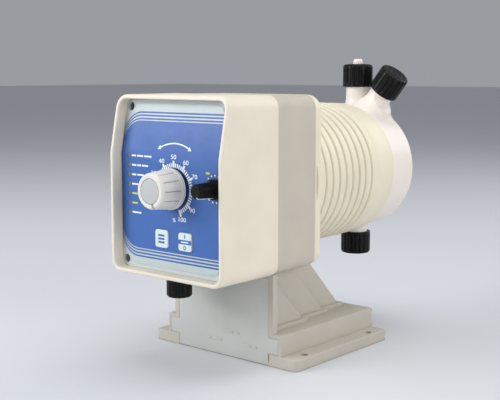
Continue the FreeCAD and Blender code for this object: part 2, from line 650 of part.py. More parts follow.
def backing_plate():
    plate = cyl_y(HEAD_R - 9.1, CAN_END_Y + 6, BARREL_END_Y - 4.0)
    return plate.cut(cyl_y(7.0, 70, 88)).cut(cone_y(7.0, 20.0, 80.0, BARREL_END_Y - 4.0))


def diaphragm_core():
    """Metal disc moulded in the diaphragm, screwed on the push rod."""
    disc = cone_y(5.0, 12.0, 82.2, 84.6).fuse(cyl_y(12.0, 84.6, 87.6))
    return disc.cut(cyl_y(2.5, 82, 88)).removeSplitter()


def diaphragm():
    outline = [(0, 88.0), (12.0, 87.8), (20.0, 86.6), (26.0, 86.2), (40.6, 86.2), (40.6, BARREL_END_Y),
               (30.0, BARREL_END_Y), (24.0, 88.0), (14.0, 89.4), (0, 89.4)]
    return revolve_y(outline)


# ---- pump head -----------------------------------------------------------------------------------
def head_screw_places():
    return [(44.6 * math.cos(math.radians(a)), AXIS_Z + 44.6 * math.sin(math.radians(a)))
            for a in range(0, 360, 60)]


def along_bleed(shape):
    """Stand a shape built on the vertical from z = 0 along the bleed axis."""
    shape = shape.copy()
    shape.translate(Vec(0, PORT_Y, 0))
    shape.rotate(Vec(0, PORT_Y, 0), Y_DIR, BLEED_TILT)
    shape.translate(Vec(0, 0, BLEED_Z))
    return shape


def bleed_solid(points):
    """Turn (radius, distance) points about the bleed axis."""
    return along_bleed(revolve_z(points, 0, 0))


def pump_head():
    disc = cyl_y(HEAD_R, BARREL_END_Y, HEAD_END_Y)
    front = [e for e in disc.Edges if abs(e.BoundBox.YMin - HEAD_END_Y) < 1e-6]
    disc = disc.makeFillet(4.0, front)
    low, high = SUCTION_Z - NECK_IN_NUT, DISCHARGE_Z + NECK_IN_NUT
    shoulder = [(0, 150.0), (15.5, 150.0), (15.0, 170.0), (NECK_R, 184.0), (NECK_R, high), (0, high)]
    heel = [(0, low), (NECK_R, low), (NECK_R, 76.5), (13.5, 84.0), (14.0, 100.0), (0, 100.0)]
    flare = [(0, 8), (16.5, 8), (NECK_R, 29), (NECK_R, BLEED_RIM + 12.5), (0, BLEED_RIM + 12.5)]
    keep = box(-99, 99, BARREL_END_Y + 2, HEAD_END_Y - 1.2, 0, 999)
    bosses = [shape.common(keep) for shape in (revolve_z(shoulder), revolve_z(heel), bleed_solid(flare))]
    body = fuse([disc] + bosses)
    for bore in head_bores():
        body = body.cut(bore)
    return body.removeSplitter()


def head_bores():
    """Pressure chamber, port and bleed bores, and the six screw holes."""
    low, high = SUCTION_Z - NECK_IN_NUT, DISCHARGE_Z + NECK_IN_NUT
    chamber = [(0, BARREL_END_Y - 1), (28, BARREL_END_Y - 1), (24, BARREL_END_Y + 2.4), (0, BARREL_END_Y + 3.2)]
    bores = [cyl_z(PORT_BORE_R, low - 1, 92.0), cyl_z(PORT_BORE_R, DISCHARGE_FLOOR, high + 1)]
    bores += [cyl_z(2.2, 91.0, 120.0), cyl_z(2.2, 136.0, DISCHARGE_FLOOR + 1), revolve_y(chamber)]
    bores += [cyl_y(2.2, BARREL_END_Y, PORT_Y, 0, z) for z in (118.0, 138.0)]
    seat, gland = BLEED_RIM + 5, BLEED_RIM + 14
    needle_way = [(0, 8), (1.6, 8), (1.6, 14), (2.9, 16), (2.9, seat), (4.6, seat), (4.6, gland), (0, gland)]
    bores.append(bleed_solid(needle_way))
    for x, z in head_screw_places():
        bores.append(cyl_y(2.1, BARREL_END_Y - 1, HEAD_END_Y + 1, x, z))
        bores.append(cyl_y(4.3, HEAD_END_Y - 5.0, HEAD_END_Y + 1, x, z))
    return bores


def head_screws():
    seat = HEAD_END_Y - 5.0
    return [cap_screw(3.5, 4.0, 2.0, 38.0, Vec(x, seat, z), -Y_DIR) for x, z in head_screw_places()]


def fluted_ring(radius, length, flutes=FLUTES):
    """Vertical cap blank from z = 0 to length: plain rim, fluted side and rounded top edge."""
    outline = [(0, 0), (radius, 0), (radius, length - 2.2), (radius - 0.65, length - 0.65),
               (radius - 2.2, length), (0, length)]
    body = revolve_z(outline, 0, 0)
    for i in range(flutes):
        angle = math.radians(360.0 / flutes * i)
        x, y = (radius + 0.45) * math.cos(angle), (radius + 0.45) * math.sin(angle)
        body = body.cut(cyl_z(1.05, 2.0, length + 1, x, y))
    return body


def union_nut():
    """Nut on the vertical, rim at z = 0, closing with a holed top."""
    body = fluted_ring(NUT_R, NUT_LEN)
    body = body.cut(cyl_z(NUT_BORE_R, -1, NUT_LEN - NUT_TOP_T, 0, 0))
    return body.cut(cyl_z(6.3, 0, NUT_LEN + 1, 0, 0))


def on_port(shape, z, up):
    """Place a vertical shape on the port line, pointing up or down from height z."""
    shape = shape.copy()
    if not up:
        shape.rotate(Vec(0, 0, 0), X_DIR, 180)
    shape.translate(Vec(0, PORT_Y, z))
    return shape


def valve_cartridge():
    """Valve cartridge with a conical seat below and a ribbed cage above."""
    r = PORT_BORE_R - 0.02
    outline = [(1.8, 0), (r, 0), (r, 14.0), (3.5, 14.0), (3.5, 3.4), (1.8, 1.2)]
    cage = revolve_z(outline, 0, 0)
    cage = cage.cut(revolve_z([(0, 10.5), (5.2, 10.5), (5.2, 15), (0, 15)], 0, 0))
    cross = box(-r + 0.5, r - 0.5, -0.9, 0.9, 10.5, 12.5)
    return cage.fuse(cross).removeSplitter()


def nipple(length):
    """Flanged hose nipple, flange from z = 0, tube up to length."""
    outline = [(2.2, 0), (9.3, 0), (9.3, FLANGE_T), (4.0, FLANGE_T), (4.0, length - 1.0),
               (3.4, length), (2.2, length)]
    return revolve_z(outline, 0, 0)


def clamp_ring():
    outline = [(6.2, 0), (8.2, 0), (9.3, 1.2), (9.3, 2.0), (6.2, 2.0)]
    return revolve_z(outline, 0, 0)


def port_seal():
    return revolve_z([(5.0, 0), (8.6, 0), (8.6, SEAL_T), (5.0, SEAL_T)], 0, 0)


def both_ports(discharge, suction, offset):
    """One piece on each port, offset outwards from the end of its neck."""
    ends = ((discharge, DISCHARGE_Z, True), (suction, SUCTION_Z, False))
    return [on_port(shape, rim + (NECK_IN_NUT + offset) * (1 if up else -1), up) for shape, rim, up in ends]


def valve_cartridges():
    return [on_port(valve_cartridge(), floor, True) for floor in (DISCHARGE_FLOOR, SUCTION_FLOOR)]


def valve_ball(floor):
    return Part.makeSphere(BALL_R, Vec(0, PORT_Y, floor + BALL_SEAT))


def bleed_knob():
    body = fluted_ring(NUT_R, BLEED_END - BLEED_RIM)
    body = body.cut(cyl_z(NUT_BORE_R, -1, BLEED_END - BLEED_RIM - 4.0, 0, 0))
    for radius in (4.0, 7.5):
        top = BLEED_END - BLEED_RIM
        groove = cyl_z(radius + 0.4, top - 0.4, top + 1, 0, 0).cut(cyl_z(radius - 0.4, top - 1, top + 2, 0, 0))
        body = body.cut(groove)
    body = body.cut(cyl_z(2.5, 0, BLEED_END - BLEED_RIM - 2.0, 0, 0))
    body.translate(Vec(0, 0, BLEED_RIM))
    return along_bleed(body)


def bleed_needle():
    return bleed_solid([(0, 13.2), (1.5, 14.4), (2.4, 16.4), (2.4, BLEED_END - 2.2), (0, BLEED_END - 2.2)])


def bleed_seal():
    """Rubber gland ring between needle and neck."""
    return bleed_solid([(2.45, BLEED_RIM + 5.1), (4.55, BLEED_RIM + 5.1), (4.55, BLEED_RIM + 8.0),
                        (2.45, BLEED_RIM + 8.0)])


# ---- assembly ------------------------------------------------------------------------------------
def on_dial_axis(shape):
    shape.translate(Vec(DIAL_X, 0, 0))
    return shape


def all_parts():
    return {
        "foot_pedestal": foot_pedestal(),
        "foot_front_plate": foot_front_plate(),
        "foot_screws": foot_screws(),
        "mid_housing": mid_housing(),
        "front_cover": front_cover(),
        "housing_gasket": housing_gasket(),
        "cover_screws": cover_screws(),
        "motor_housing": motor_housing(),
        "housing_screws": housing_screws(),
        "fascia_panel": fascia_panel(),
        "panel_overlay": panel_overlay(),
        "menu_key": key_cap("menu_key"),
        "power_key": key_cap("power_key"),
        "key_switches": key_switches(),
        "control_board": control_board(),
        "board_screws": board_screws(),
        "indicator_leds": indicator_leds(),
        "selector_switch": selector_switch(),
        "selector_shaft": selector_shaft(),
        "selector_knob": selector_knob(),
        "dial_knob": on_dial_axis(dial_knob()),
        "dial_cap": on_dial_axis(dial_cap()),
        "dial_shaft": on_dial_axis(dial_shaft()),
        "dial_bush": on_dial_axis(dial_bush()),
        "dial_collar": on_dial_axis(dial_collar()),
        "dial_spring": on_dial_axis(dial_spring()),
        "drive_sleeve": on_dial_axis(drive_sleeve()),
        "stroke_guide": on_dial_axis(stroke_guide()),
        "stroke_stop": on_dial_axis(stroke_stop()),
        "power_board": power_board(),
        "terminal_block": terminal_block(),
        "gland_body": gland_body(),
        "gland_lock_nut": gland_lock_nut(),
        "gland_cap": gland_cap(),
        "gland_seal": gland_seal(),
        "solenoid_can": solenoid_can(),
        "solenoid_back_plate": solenoid_back_plate(),
        "solenoid_mount": solenoid_mount(),
        "coil_bobbin": coil_bobbin(),
        "coil_winding": coil_winding(),
        "pole_piece": pole_piece(),
        "armature": armature(),
        "push_rod": push_rod(),
        "return_spring": return_spring(),
        "backing_plate": backing_plate(),
        "diaphragm_core": diaphragm_core(),
        "diaphragm": diaphragm(),
        "pump_head": pump_head(),
        "head_screws": head_screws(),
        "bleed_knob": bleed_knob(),
        "bleed_needle": bleed_needle(),
        "valve_cartridges": valve_cartridges(),
        "discharge_ball": valve_ball(DISCHARGE_FLOOR),
        "suction_ball": valve_ball(SUCTION_FLOOR),
        "port_seals": both_ports(port_seal(), port_seal(), 0) + [bleed_seal()],
        "hose_nipples": both_ports(nipple(12.0), nipple(7.0), SEAL_T),
        "discharge_clamp_ring": both_ports(clamp_ring(), clamp_ring(), SEAL_T + FLANGE_T + 0.1)[0],
        "suction_clamp_ring": both_ports(clamp_ring(), clamp_ring(), SEAL_T + FLANGE_T + 0.1)[1],
        "discharge_nut": both_ports(union_nut(), union_nut(), -NECK_IN_NUT)[0],
        "suction_nut": both_ports(union_nut(), union_nut(), -NECK_IN_NUT)[1],
    }


def main():
    os.makedirs("parts", exist_ok=True)
    for name, shape in all_parts().items():
        if isinstance(shape, list):
            shape = Part.makeCompound(shape)
        good = shape.isValid() and all(s.Volume > 0 for s in shape.Solids)
        print(name, len(shape.Solids), round(shape.Volume, 1), "" if good else "INVALID")
        shape.exportStep(os.path.join("parts", name + ".step"))


main()
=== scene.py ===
"""Looks of the dosing pump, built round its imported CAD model.

Shapes are worked out in millimetres in the model's own frame and stored in metres.
"""
import json
import math

import bmesh
import bpy
import numpy as np
from mathutils import Matrix, Vector
from mathutils.geometry import tessellate_polygon


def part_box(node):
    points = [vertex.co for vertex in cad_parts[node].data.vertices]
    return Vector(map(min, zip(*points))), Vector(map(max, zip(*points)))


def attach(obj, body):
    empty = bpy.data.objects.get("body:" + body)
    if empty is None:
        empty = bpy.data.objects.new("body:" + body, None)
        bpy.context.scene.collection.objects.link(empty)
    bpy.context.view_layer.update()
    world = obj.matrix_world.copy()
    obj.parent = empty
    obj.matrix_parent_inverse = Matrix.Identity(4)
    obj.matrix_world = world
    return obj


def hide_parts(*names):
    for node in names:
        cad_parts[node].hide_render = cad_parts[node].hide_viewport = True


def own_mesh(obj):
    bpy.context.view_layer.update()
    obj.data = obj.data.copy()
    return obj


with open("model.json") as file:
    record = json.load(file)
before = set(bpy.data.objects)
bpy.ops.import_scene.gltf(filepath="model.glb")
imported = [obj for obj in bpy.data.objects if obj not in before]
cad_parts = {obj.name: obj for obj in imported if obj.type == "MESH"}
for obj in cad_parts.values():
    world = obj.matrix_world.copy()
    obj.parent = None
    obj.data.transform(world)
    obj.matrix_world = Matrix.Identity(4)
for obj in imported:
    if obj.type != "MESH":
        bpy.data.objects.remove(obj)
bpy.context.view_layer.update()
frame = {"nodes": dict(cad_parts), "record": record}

MM = 0.001
SEGMENTS = 128              # round a lathe
KINK_Z, RAKE = 150.0, 8.0   # above KINK_Z the cover's rim leans back by RAKE at the top
FASCIA_RECESS = 8.7
FILM = 0.4                  # thickness of the printed film
WALL = 3.0                  # of the housings
SHARP = 38.0                # edges over this angle are shaded sharp


# ---- places from the frame -----------------------------------------------------------------------
class Node:
    """Box of a CAD node in millimetres."""

    def __init__(self, name):
        low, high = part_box(name)
        self.x0, self.y0, self.z0 = (c / MM for c in low)
        self.x1, self.y1, self.z1 = (c / MM for c in high)
        self.x = (self.x0 + self.x1) / 2
        self.y = (self.y0 + self.y1) / 2
        self.z = (self.z0 + self.z1) / 2


COVER = Node("front_cover")
MIDDLE = Node("mid_housing")
MOTOR = Node("motor_housing")
HEAD = Node("pump_head")
DIAL = Node("dial_knob")
SELECTOR = Node("selector_knob")
AXIS_Z = DIAL.z
PORT_Y = Node("discharge_nut").y


def lean(z):
    """How far the rim has moved back at height z, with a soft bend at the kink."""
    slope = RAKE / (COVER.z1 - KINK_Z)
    t = z - KINK_Z
    soft = 1.5
    if t < -soft:
        return 0.0
    if t < soft:
        return slope * (t + soft) ** 2 / (4 * soft)
    return slope * t


# ---- mesh tools ----------------------------------------------------------------------------------
def placed(name, data):
    """New object in the scene."""
    obj = bpy.data.objects.new(name, data)
    bpy.context.scene.collection.objects.link(obj)
    return obj


def new_mesh(name, verts, faces):
    """Mesh in metres from vertices in millimetres."""
    mesh = bpy.data.meshes.new(name)
    mesh.from_pydata([tuple(c * MM for c in v) for v in verts], [], faces)
    return mesh


def clean(mesh):
    """Weld a mesh, dissolve what has no size and turn its faces outward."""
    bm = bmesh.new()
    bm.from_mesh(mesh)
    bmesh.ops.remove_doubles(bm, verts=bm.verts, dist=1e-6)
    bmesh.ops.dissolve_degenerate(bm, dist=1e-7, edges=bm.edges)
    bmesh.ops.recalc_face_normals(bm, faces=bm.faces)
    bm.to_mesh(mesh)
    bm.free()


def finish_piece(name, mesh, material, body, slot, replaces=(), sharp=SHARP):
    """Make a visible piece of a mesh in metres and hang it on its CAD body."""
    clean(mesh)
    mesh.shade_smooth()
    mesh.set_sharp_from_angle(angle=math.radians(sharp))
    mesh.materials.clear()
    mesh.materials.append(material)
    obj = placed(name, mesh)
    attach(obj, body)
    if replaces:
        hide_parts(*replaces)
    return obj


def stand_in(name, shape, node, sharp=SHARP):
    """Show a (verts, faces) shell, or a mesh, in place of a CAD node."""
    mesh = new_mesh(name, *shape) if isinstance(shape, tuple) else shape
    return finish_piece(name, mesh, *like(node), replaces=[node], sharp=sharp)


def join_shells(*shells):
    """Put several (verts, faces) shells in one."""
    verts, faces = [], []
    for shell_verts, shell_faces in shells:
        start = len(verts)
        verts += [tuple(v) for v in shell_verts]
        faces += [tuple(i + start for i in face) for face in shell_faces]
    return verts, faces


def loft(rings, closed=False):
    """Quads between successive rings of equal length; closed joins the last ring to the first."""
    count = len(rings[0])
    verts = [tuple(p) for ring in rings for p in ring]
    faces = []
    last = len(rings) if closed else len(rings) - 1
    for r in range(last):
        a, b = r * count, (r + 1) % len(rings) * count
        for i in range(count):
            j = (i + 1) % count
            faces.append((a + i, a + j, b + j, b + i))
    return verts, faces


def cap_ends(verts, faces, count):
    """Close an open loft with a face over its first and its last ring."""
    faces = list(faces)
    faces.append(tuple(range(count))[::-1])
    faces.append(tuple(range(len(verts) - count, len(verts))))
    return verts, faces


def soft_path(points, steps=4):
    """Closed outline through (a, b, radius) corners, each rounded with an arc of its own radius."""
    path = []
    count = len(points)
    for i, (a, b, radius) in enumerate(points):
        corner = Vector((a, b))
        if radius <= 0:
            path.append(corner)
            continue
        before = Vector(points[i - 1][:2]) - corner
        after = Vector(points[(i + 1) % count][:2]) - corner
        half = before.angle(after) / 2
        if abs(half - math.pi / 2) < 1e-3:
            path.append(corner)
            continue
        reach = min(radius / math.tan(half), 0.49 * before.length, 0.49 * after.length)
        true_radius = reach * math.tan(half)
        bisector = (before.normalized() + after.normalized()).normalized()
        middle = corner + bisector * (true_radius / math.sin(half))
        start, end = corner + before.normalized() * reach, corner + after.normalized() * reach
        turn = (start - middle).angle_signed(end - middle)
        for k in range(steps + 1):
            angle = turn * k / steps
            arm = start - middle
            arm = Vector((arm.x * math.cos(angle) + arm.y * math.sin(angle),
                          -arm.x * math.sin(angle) + arm.y * math.cos(angle)))
            path.append(middle + arm)
    return path


def circle(x, z, radius, count=40):
    return [(x + radius * math.cos(2 * math.pi * k / count), z + radius * math.sin(2 * math.pi * k / count))
            for k in range(count)]


def hoop(a, b, radius, height, count, upright):
    """Ring about a line along Y, or along Z if upright; (a, b) is the line's place."""
    return [(p, q, height) if upright else (p, height, q) for p, q in circle(a, b, radius, count)]


def lathe(path, segments=SEGMENTS, upright=False):
    """Turn a path of (radius, height) points about the drive axis, or about Z if upright."""
    centre = 0.0 if upright else AXIS_Z
    rings = [hoop(0.0, centre, radius, height, segments, upright) for radius, height in path]
    return loft(rings, closed=True)


def rod(radius, low, high, a, b, upright=False, segments=48):
    """Closed cylinder along Y, or along Z if upright."""
    ends = [hoop(a, b, radius, height, segments, upright) for height in (low, high)]
    return cap_ends(*loft(ends), segments)


def rounded_rect(x0, x1, z0, z1, radius, arc=10, side=12):
    """Points of a rectangle with round corners, each straight side cut in equal steps."""
    radius = max(radius, 0.05)
    corners = ((x1, z0, -90), (x1, z1, 0), (x0, z1, 90), (x0, z0, 180))
    arcs = []
    for cx, cz, start in corners:
        ox = cx - radius if cx == x1 else cx + radius
        oz = cz - radius if cz == z1 else cz + radius
        arcs.append([(ox + radius * math.cos(math.radians(start + 90 * k / arc)),
                      oz + radius * math.sin(math.radians(start + 90 * k / arc))) for k in range(arc + 1)])
    points = []
    for i, curve in enumerate(arcs):
        points += curve
        (ax, az), (bx, bz) = curve[-1], arcs[(i + 1) % 4][0]
        points += [(ax + (bx - ax) * k / side, az + (bz - az) * k / side) for k in range(1, side)]
    return points


def box_ring(node, inset, radius, y, leaning=False, arc=10, side=14):
    """One loop of a boxy moulding, inset from its outer size, at depth y."""
    outline = rounded_rect(node.x0 + inset, node.x1 - inset, node.z0 + inset, node.z1 - inset, radius - inset,
                           arc, side)
    return [(x, y + (lean(z) if leaning else 0.0), z) for x, z in outline]


# ---- materials -----------------------------------------------------------------------------------
def srgb(r, g, b):
    """Linear colour of an 8-bit sRGB one."""
    def linear(c):
        c /= 255.0
        return c / 12.92 if c <= 0.04045 else ((c + 0.055) / 1.055) ** 2.4
    return linear(r), linear(g), linear(b)


class Shader:
    """A Principled material with helpers for the procedural parts."""

    def __init__(self, name, roughness=0.5, metallic=0.0, specular=0.5):
        self.material = bpy.data.materials.new(name)
        self.material.use_nodes = True
        self.tree = self.material.node_tree
        self.bsdf = self.tree.nodes["Principled BSDF"]
        self.bsdf.inputs["Roughness"].default_value = roughness
        self.bsdf.inputs["Metallic"].default_value = metallic
        self.bsdf.inputs["Specular IOR Level"].default_value = specular
        self.place = self.tree.nodes.new("ShaderNodeTexCoord").outputs["Object"]

    def node(self, kind, **values):
        made = self.tree.nodes.new(kind)
        for key, value in values.items():
            setattr(made, key, value)
        return made

    def link(self, a, b):
        self.tree.links.new(a, b)

    def noise(self, size_mm, detail=2.0, rough=0.5, stretch=None):
        """Noise whose features are about size_mm across."""
        texture = self.node("ShaderNodeTexNoise")
        texture.inputs["Scale"].default_value = 1.0 / (size_mm * MM)
        texture.inputs["Detail"].default_value = detail
        texture.inputs["Roughness"].default_value = rough
        source = self.place
        if stretch:
            mapping = self.node("ShaderNodeMapping")
            mapping.inputs["Scale"].default_value = stretch
            self.link(source, mapping.inputs["Vector"])
            source = mapping.outputs["Vector"]
        self.link(source, texture.inputs["Vector"])
        return texture.outputs["Fac"]

    def spread(self, fac, low, high, from_low=0.3, from_high=0.7):
        """Map a factor to the range low..high."""
        mapped = self.node("ShaderNodeMapRange")
        mapped.inputs["From Min"].default_value = from_low
        mapped.inputs["From Max"].default_value = from_high
        mapped.inputs["To Min"].default_value = low
        mapped.inputs["To Max"].default_value = high
        self.link(fac, mapped.inputs["Value"])
        return mapped.outputs["Result"]

    def mix(self, fac, a, b):
        """Mix two colours, each a tuple or a socket."""
        mixed = self.node("ShaderNodeMix", data_type="RGBA")
        self.link(fac, mixed.inputs["Factor"])
        for value, name in ((a, "A"), (b, "B")):
            target = [s for s in mixed.inputs if s.name == name and s.type == "RGBA"][0]
            if isinstance(value, tuple):
                target.default_value = (*value, 1.0)
            else:
                self.link(value, target)
        return [s for s in mixed.outputs if s.type == "RGBA"][0]

    def clouded(self, fac, a, b):
        """Mix two colours by a noise, stretched to its full range."""
        return self.mix(self.spread(fac, 0.0, 1.0), a, b)

    def colour(self, source):
        if isinstance(source, tuple):
            self.bsdf.inputs["Base Color"].default_value = (*source, 1.0)
        else:
            self.link(source, self.bsdf.inputs["Base Color"])

    def roughness(self, fac, low, high):
        """Vary the roughness from low to high by a noise."""
        self.link(self.spread(fac, low, high), self.bsdf.inputs["Roughness"])

    def bump(self, fac, depth_mm, strength=1.0, normal=None):
        made = self.node("ShaderNodeBump")
        made.inputs["Distance"].default_value = depth_mm * MM
        made.inputs["Strength"].default_value = strength
        self.link(fac, made.inputs["Height"])
        if normal is not None:
            self.link(normal, made.inputs["Normal"])
        return made.outputs["Normal"]

    def normal(self, source):
        self.link(source, self.bsdf.inputs["Normal"])

    def crevices(self, reach_mm):
        """0 in the open, rising to 1 in narrow gaps."""
        shade = self.node("ShaderNodeAmbientOcclusion", samples=8)
        shade.inputs["Distance"].default_value = reach_mm * MM
        return self.spread(shade.outputs["AO"], 1.0, 0.0, 0.21, 0.85)

    def worn_edges(self, reach_mm):
        """1 on outside edges, 0 elsewhere."""
        shade = self.node("ShaderNodeAmbientOcclusion", samples=6, inside=True)
        shade.inputs["Distance"].default_value = reach_mm * MM
        return self.spread(shade.outputs["AO"], 1.0, 0.0, 0.35, 0.75)


def darker(colour, factor):
    """A colour times a factor; over 1 it gets lighter."""
    return tuple(c * factor for c in colour)


GAP_SHADE_AND_GRIME = (0.50, 0.46, 0.40)  # how much of its colour a plastic keeps in its gaps, where shade is painted with a slight dirt tint
NYLON = (0.0016, 0.0015, 0.0016)
SCUFFED_NYLON = (0.045, 0.041, 0.039)


def moulded(name, colour, roughness=0.5, grain=0.35, grain_depth=0.02, mottle=0.035, gap_shade_and_dirt=0.25,
            gap_shade_and_dirt_reach=2.0):
    """Moulded plastic: spark-eroded grain, faint flow mottling, and painted shade with a slight dirt tint in
    its gaps.
    """
    shader = Shader(name, roughness, specular=0.45)
    clouds = shader.noise(28.0, 3.0, 0.55)
    base = shader.clouded(clouds, darker(colour, 1 - mottle), darker(colour, 1 + mottle))
    # painted shade: darker and a little browner where ambient occlusion finds gaps and creases
    if gap_shade_and_dirt:
        gap_shade_and_grime = tuple(c * f for c, f in zip(colour, GAP_SHADE_AND_GRIME))
        gap = shader.node("ShaderNodeMath", operation="MULTIPLY")
        gap.inputs[1].default_value = gap_shade_and_dirt
        shader.link(shader.crevices(gap_shade_and_dirt_reach), gap.inputs[0])
        base = shader.mix(gap.outputs[0], base, gap_shade_and_grime)
    shader.colour(base)
    smears = shader.noise(9.0, 4.0, 0.6)
    shader.roughness(smears, roughness - 0.05, roughness + 0.07)
    fine = shader.bump(shader.noise(grain, 2.0, 0.6), grain_depth, 0.55)
    wavy = shader.bump(shader.noise(22.0, 1.0, 0.4), 0.10, 0.25, fine)
    shader.normal(wavy)
    return shader.material


def milky(name, colour, roughness=0.3, glow=0.18):
    """Slightly translucent fluoropolymer of the wetted end."""
    shader = Shader(name, roughness, specular=0.5)
    clouds = shader.noise(24.0, 2.0, 0.5)
    base = shader.clouded(clouds, darker(colour, 0.97), colour)
    shader.colour(base)
    shader.bsdf.inputs["Subsurface Weight"].default_value = glow
    shader.bsdf.inputs["Subsurface Radius"].default_value = (1.0, 0.72, 0.6)
    shader.bsdf.inputs["Subsurface Scale"].default_value = 3.5 * MM
    shader.roughness(shader.noise(20.0, 1.0, 0.4), roughness - 0.02, roughness + 0.04)
    shader.normal(shader.bump(shader.noise(14.0, 1.0, 0.4), 0.10, 0.25))
    return shader.material


def metal(name, colour, roughness=0.32, stretch=(1.0, 14.0, 1.0), line=0.35):
    """Machined or plated metal with fine tool lines."""
    shader = Shader(name, roughness, metallic=1.0)
    lines = shader.noise(line, 3.0, 0.7, stretch)
    shader.colour(shader.clouded(lines, darker(colour, 0.85), colour))
    shader.roughness(lines, roughness - 0.07, roughness + 0.12)
    shader.normal(shader.bump(lines, 0.012, 0.5))
    return shader.material


def rubbery(name, colour, roughness=0.75):
    """Matt rubber with a little dust."""
    shader = Shader(name, roughness, specular=0.3)
    dust = shader.noise(5.0, 4.0, 0.6)
    shader.colour(shader.clouded(dust, colour, tuple(c * 1.4 + 0.006 for c in colour)))
    shader.roughness(shader.noise(2.0, 2.0, 0.5), roughness - 0.08, roughness + 0.08)
    shader.normal(shader.bump(shader.noise(0.3, 2.0, 0.6), 0.02, 0.5))
    return shader.material


def black_moulding(name, roughness=0.3):
    """Glossy black nylon with paler scuffed ridges."""
    shader = Shader(name, roughness, specular=0.19)
    clouds = shader.noise(7.0, 4.0, 0.6)
    base = shader.clouded(clouds, NYLON, darker(NYLON, 2.0))
    ridge = shader.node("ShaderNodeMath", operation="MULTIPLY")
    shader.link(shader.worn_edges(0.7), ridge.inputs[0])
    shader.link(shader.spread(shader.noise(1.6, 4.0, 0.7), 0.0, 0.4, 0.45, 0.7), ridge.inputs[1])
    shader.colour(shader.mix(ridge.outputs[0], base, SCUFFED_NYLON))
    shader.roughness(shader.noise(3.0, 4.0, 0.6), roughness - 0.08, roughness + 0.14)
    shader.normal(shader.bump(shader.noise(0.5, 2.0, 0.6), 0.025, 0.5))
    return shader.material


def ink(name, colour, roughness=0.42, streak=0.05, shade_reach=None):
    """Screen-printed ink under a satin film, with painted shade close to the recess wall."""
    shader = Shader(name, roughness, specular=0.4)
    shade = shader.noise(18.0, 3.0, 0.5)
    base = shader.clouded(shade, darker(colour, 1 - streak), darker(colour, 1 + streak))
    # painted shadow: the ink darkens near the recess walls, where the rim shades the panel
    if shade_reach:
        base = shader.mix(shader.crevices(shade_reach), base, darker(colour, 0.15))
    shader.colour(base)
    shader.roughness(shader.noise(4.0, 3.0, 0.6), roughness - 0.05, roughness + 0.06)
    shader.normal(shader.bump(shader.noise(0.25, 2.0, 0.5), 0.008, 0.4))
    return shader.material


def lens(name, colour):
    """Tinted indicator lens."""
    shader = Shader(name, 0.2, specular=0.6)
    tint = shader.noise(1.2, 2.0, 0.5)
    shader.colour(shader.clouded(tint, darker(colour, 0.8), darker(colour, 1.2)))
    shader.bsdf.inputs["Transmission Weight"].default_value = 0.25
    return shader.material


def board(name):
    """Solder mask with a faint pattern of tracks."""
    shader = Shader(name, 0.35)
    bricks = shader.node("ShaderNodeTexBrick")
    bricks.inputs["Scale"].default_value = 160.0
    bricks.inputs["Mortar Size"].default_value = 0.012
    bricks.inputs["Color1"].default_value = (0.012, 0.13, 0.05, 1.0)
    bricks.inputs["Color2"].default_value = (0.014, 0.15, 0.06, 1.0)
    bricks.inputs["Mortar"].default_value = (0.03, 0.26, 0.11, 1.0)
    turned = shader.node("ShaderNodeMapping")
    turned.inputs["Rotation"].default_value = (math.radians(90), 0.0, 0.0)
    shader.link(shader.place, turned.inputs["Vector"])
    shader.link(turned.outputs["Vector"], bricks.inputs["Vector"])
    shader.colour(bricks.outputs["Color"])
    shader.normal(shader.bump(bricks.outputs["Fac"], 0.03, 0.5))
    return shader.material


CREAM = srgb(232, 223, 205)
# the gap darkening set for each plastic below is painted shade with a slight dirt tint
MATERIALS = {
    "cover_plastic": moulded("cover_cream", CREAM, 0.48, mottle=0.025, gap_shade_and_dirt=0.18),
    "housing_plastic": moulded("housing_greige", srgb(196, 188, 175), 0.6, grain=0.5, grain_depth=0.035),
    "barrel_plastic": moulded("barrel_cream", srgb(233, 225, 202), 0.42, mottle=0.03, gap_shade_and_dirt=0.6,
                              gap_shade_and_dirt_reach=2.2),
    "foot_plastic": moulded("foot_grey", srgb(188, 182, 171), 0.62, grain=0.45, grain_depth=0.03, gap_shade_and_dirt=0.35),
    "plate_plastic": moulded("plate_grey", srgb(189, 190, 186), 0.55, grain=0.4, grain_depth=0.02),
    "fascia_plastic": moulded("fascia_grey", srgb(206, 213, 214), 0.45, mottle=0.02),
    # the film gets painted shade near the recess walls
    "overlay_film": ink("film_grey", srgb(192, 203, 204), 0.38, shade_reach=6.0),
    "key_plastic": moulded("key_pale", srgb(214, 226, 232), 0.4, mottle=0.02),
    "dial_plastic": moulded("dial_grey", srgb(228, 225, 218), 0.45, mottle=0.03, gap_shade_and_dirt=0.5, gap_shade_and_dirt_reach=1.5),
    "dial_cap_plastic": moulded("dial_cap_grey", srgb(190, 192, 191), 0.4, mottle=0.02),
    "black_plastic": black_moulding("black_nylon"),
    "head_plastic": milky("head_white", srgb(242, 233, 224)),
    "steel": metal("screw_steel", (0.56, 0.56, 0.57)),
    "zinc_steel": metal("zinc_steel", (0.46, 0.46, 0.44), 0.42),
    "copper_wire": metal("enamelled_copper", (0.62, 0.24, 0.10), 0.4, (1.0, 30.0, 1.0), 0.6),
    "brass_metal": metal("turned_brass", (0.72, 0.53, 0.24), 0.3),
    "board_green": board("solder_mask"),
    "led_lens": lens("led_lens", srgb(150, 138, 72)),
    "white_plastic": moulded("white_acetal", srgb(236, 236, 232), 0.4, gap_shade_and_dirt=0.0),
    "seal_rubber": rubbery("seal_black", (0.02, 0.02, 0.02)),
    "diaphragm_rubber": rubbery("diaphragm_coating", srgb(206, 206, 200), 0.5),
    "ceramic": milky("valve_ceramic", srgb(238, 236, 230), 0.16, 0.05),
}
SLOT_OF = {part["node"]: part["material_slot"] for part in frame["record"]["subparts"]}
BODY_OF = {node: body for body, nodes in frame["record"]["behaviour"]["bodies"].items() for node in nodes}

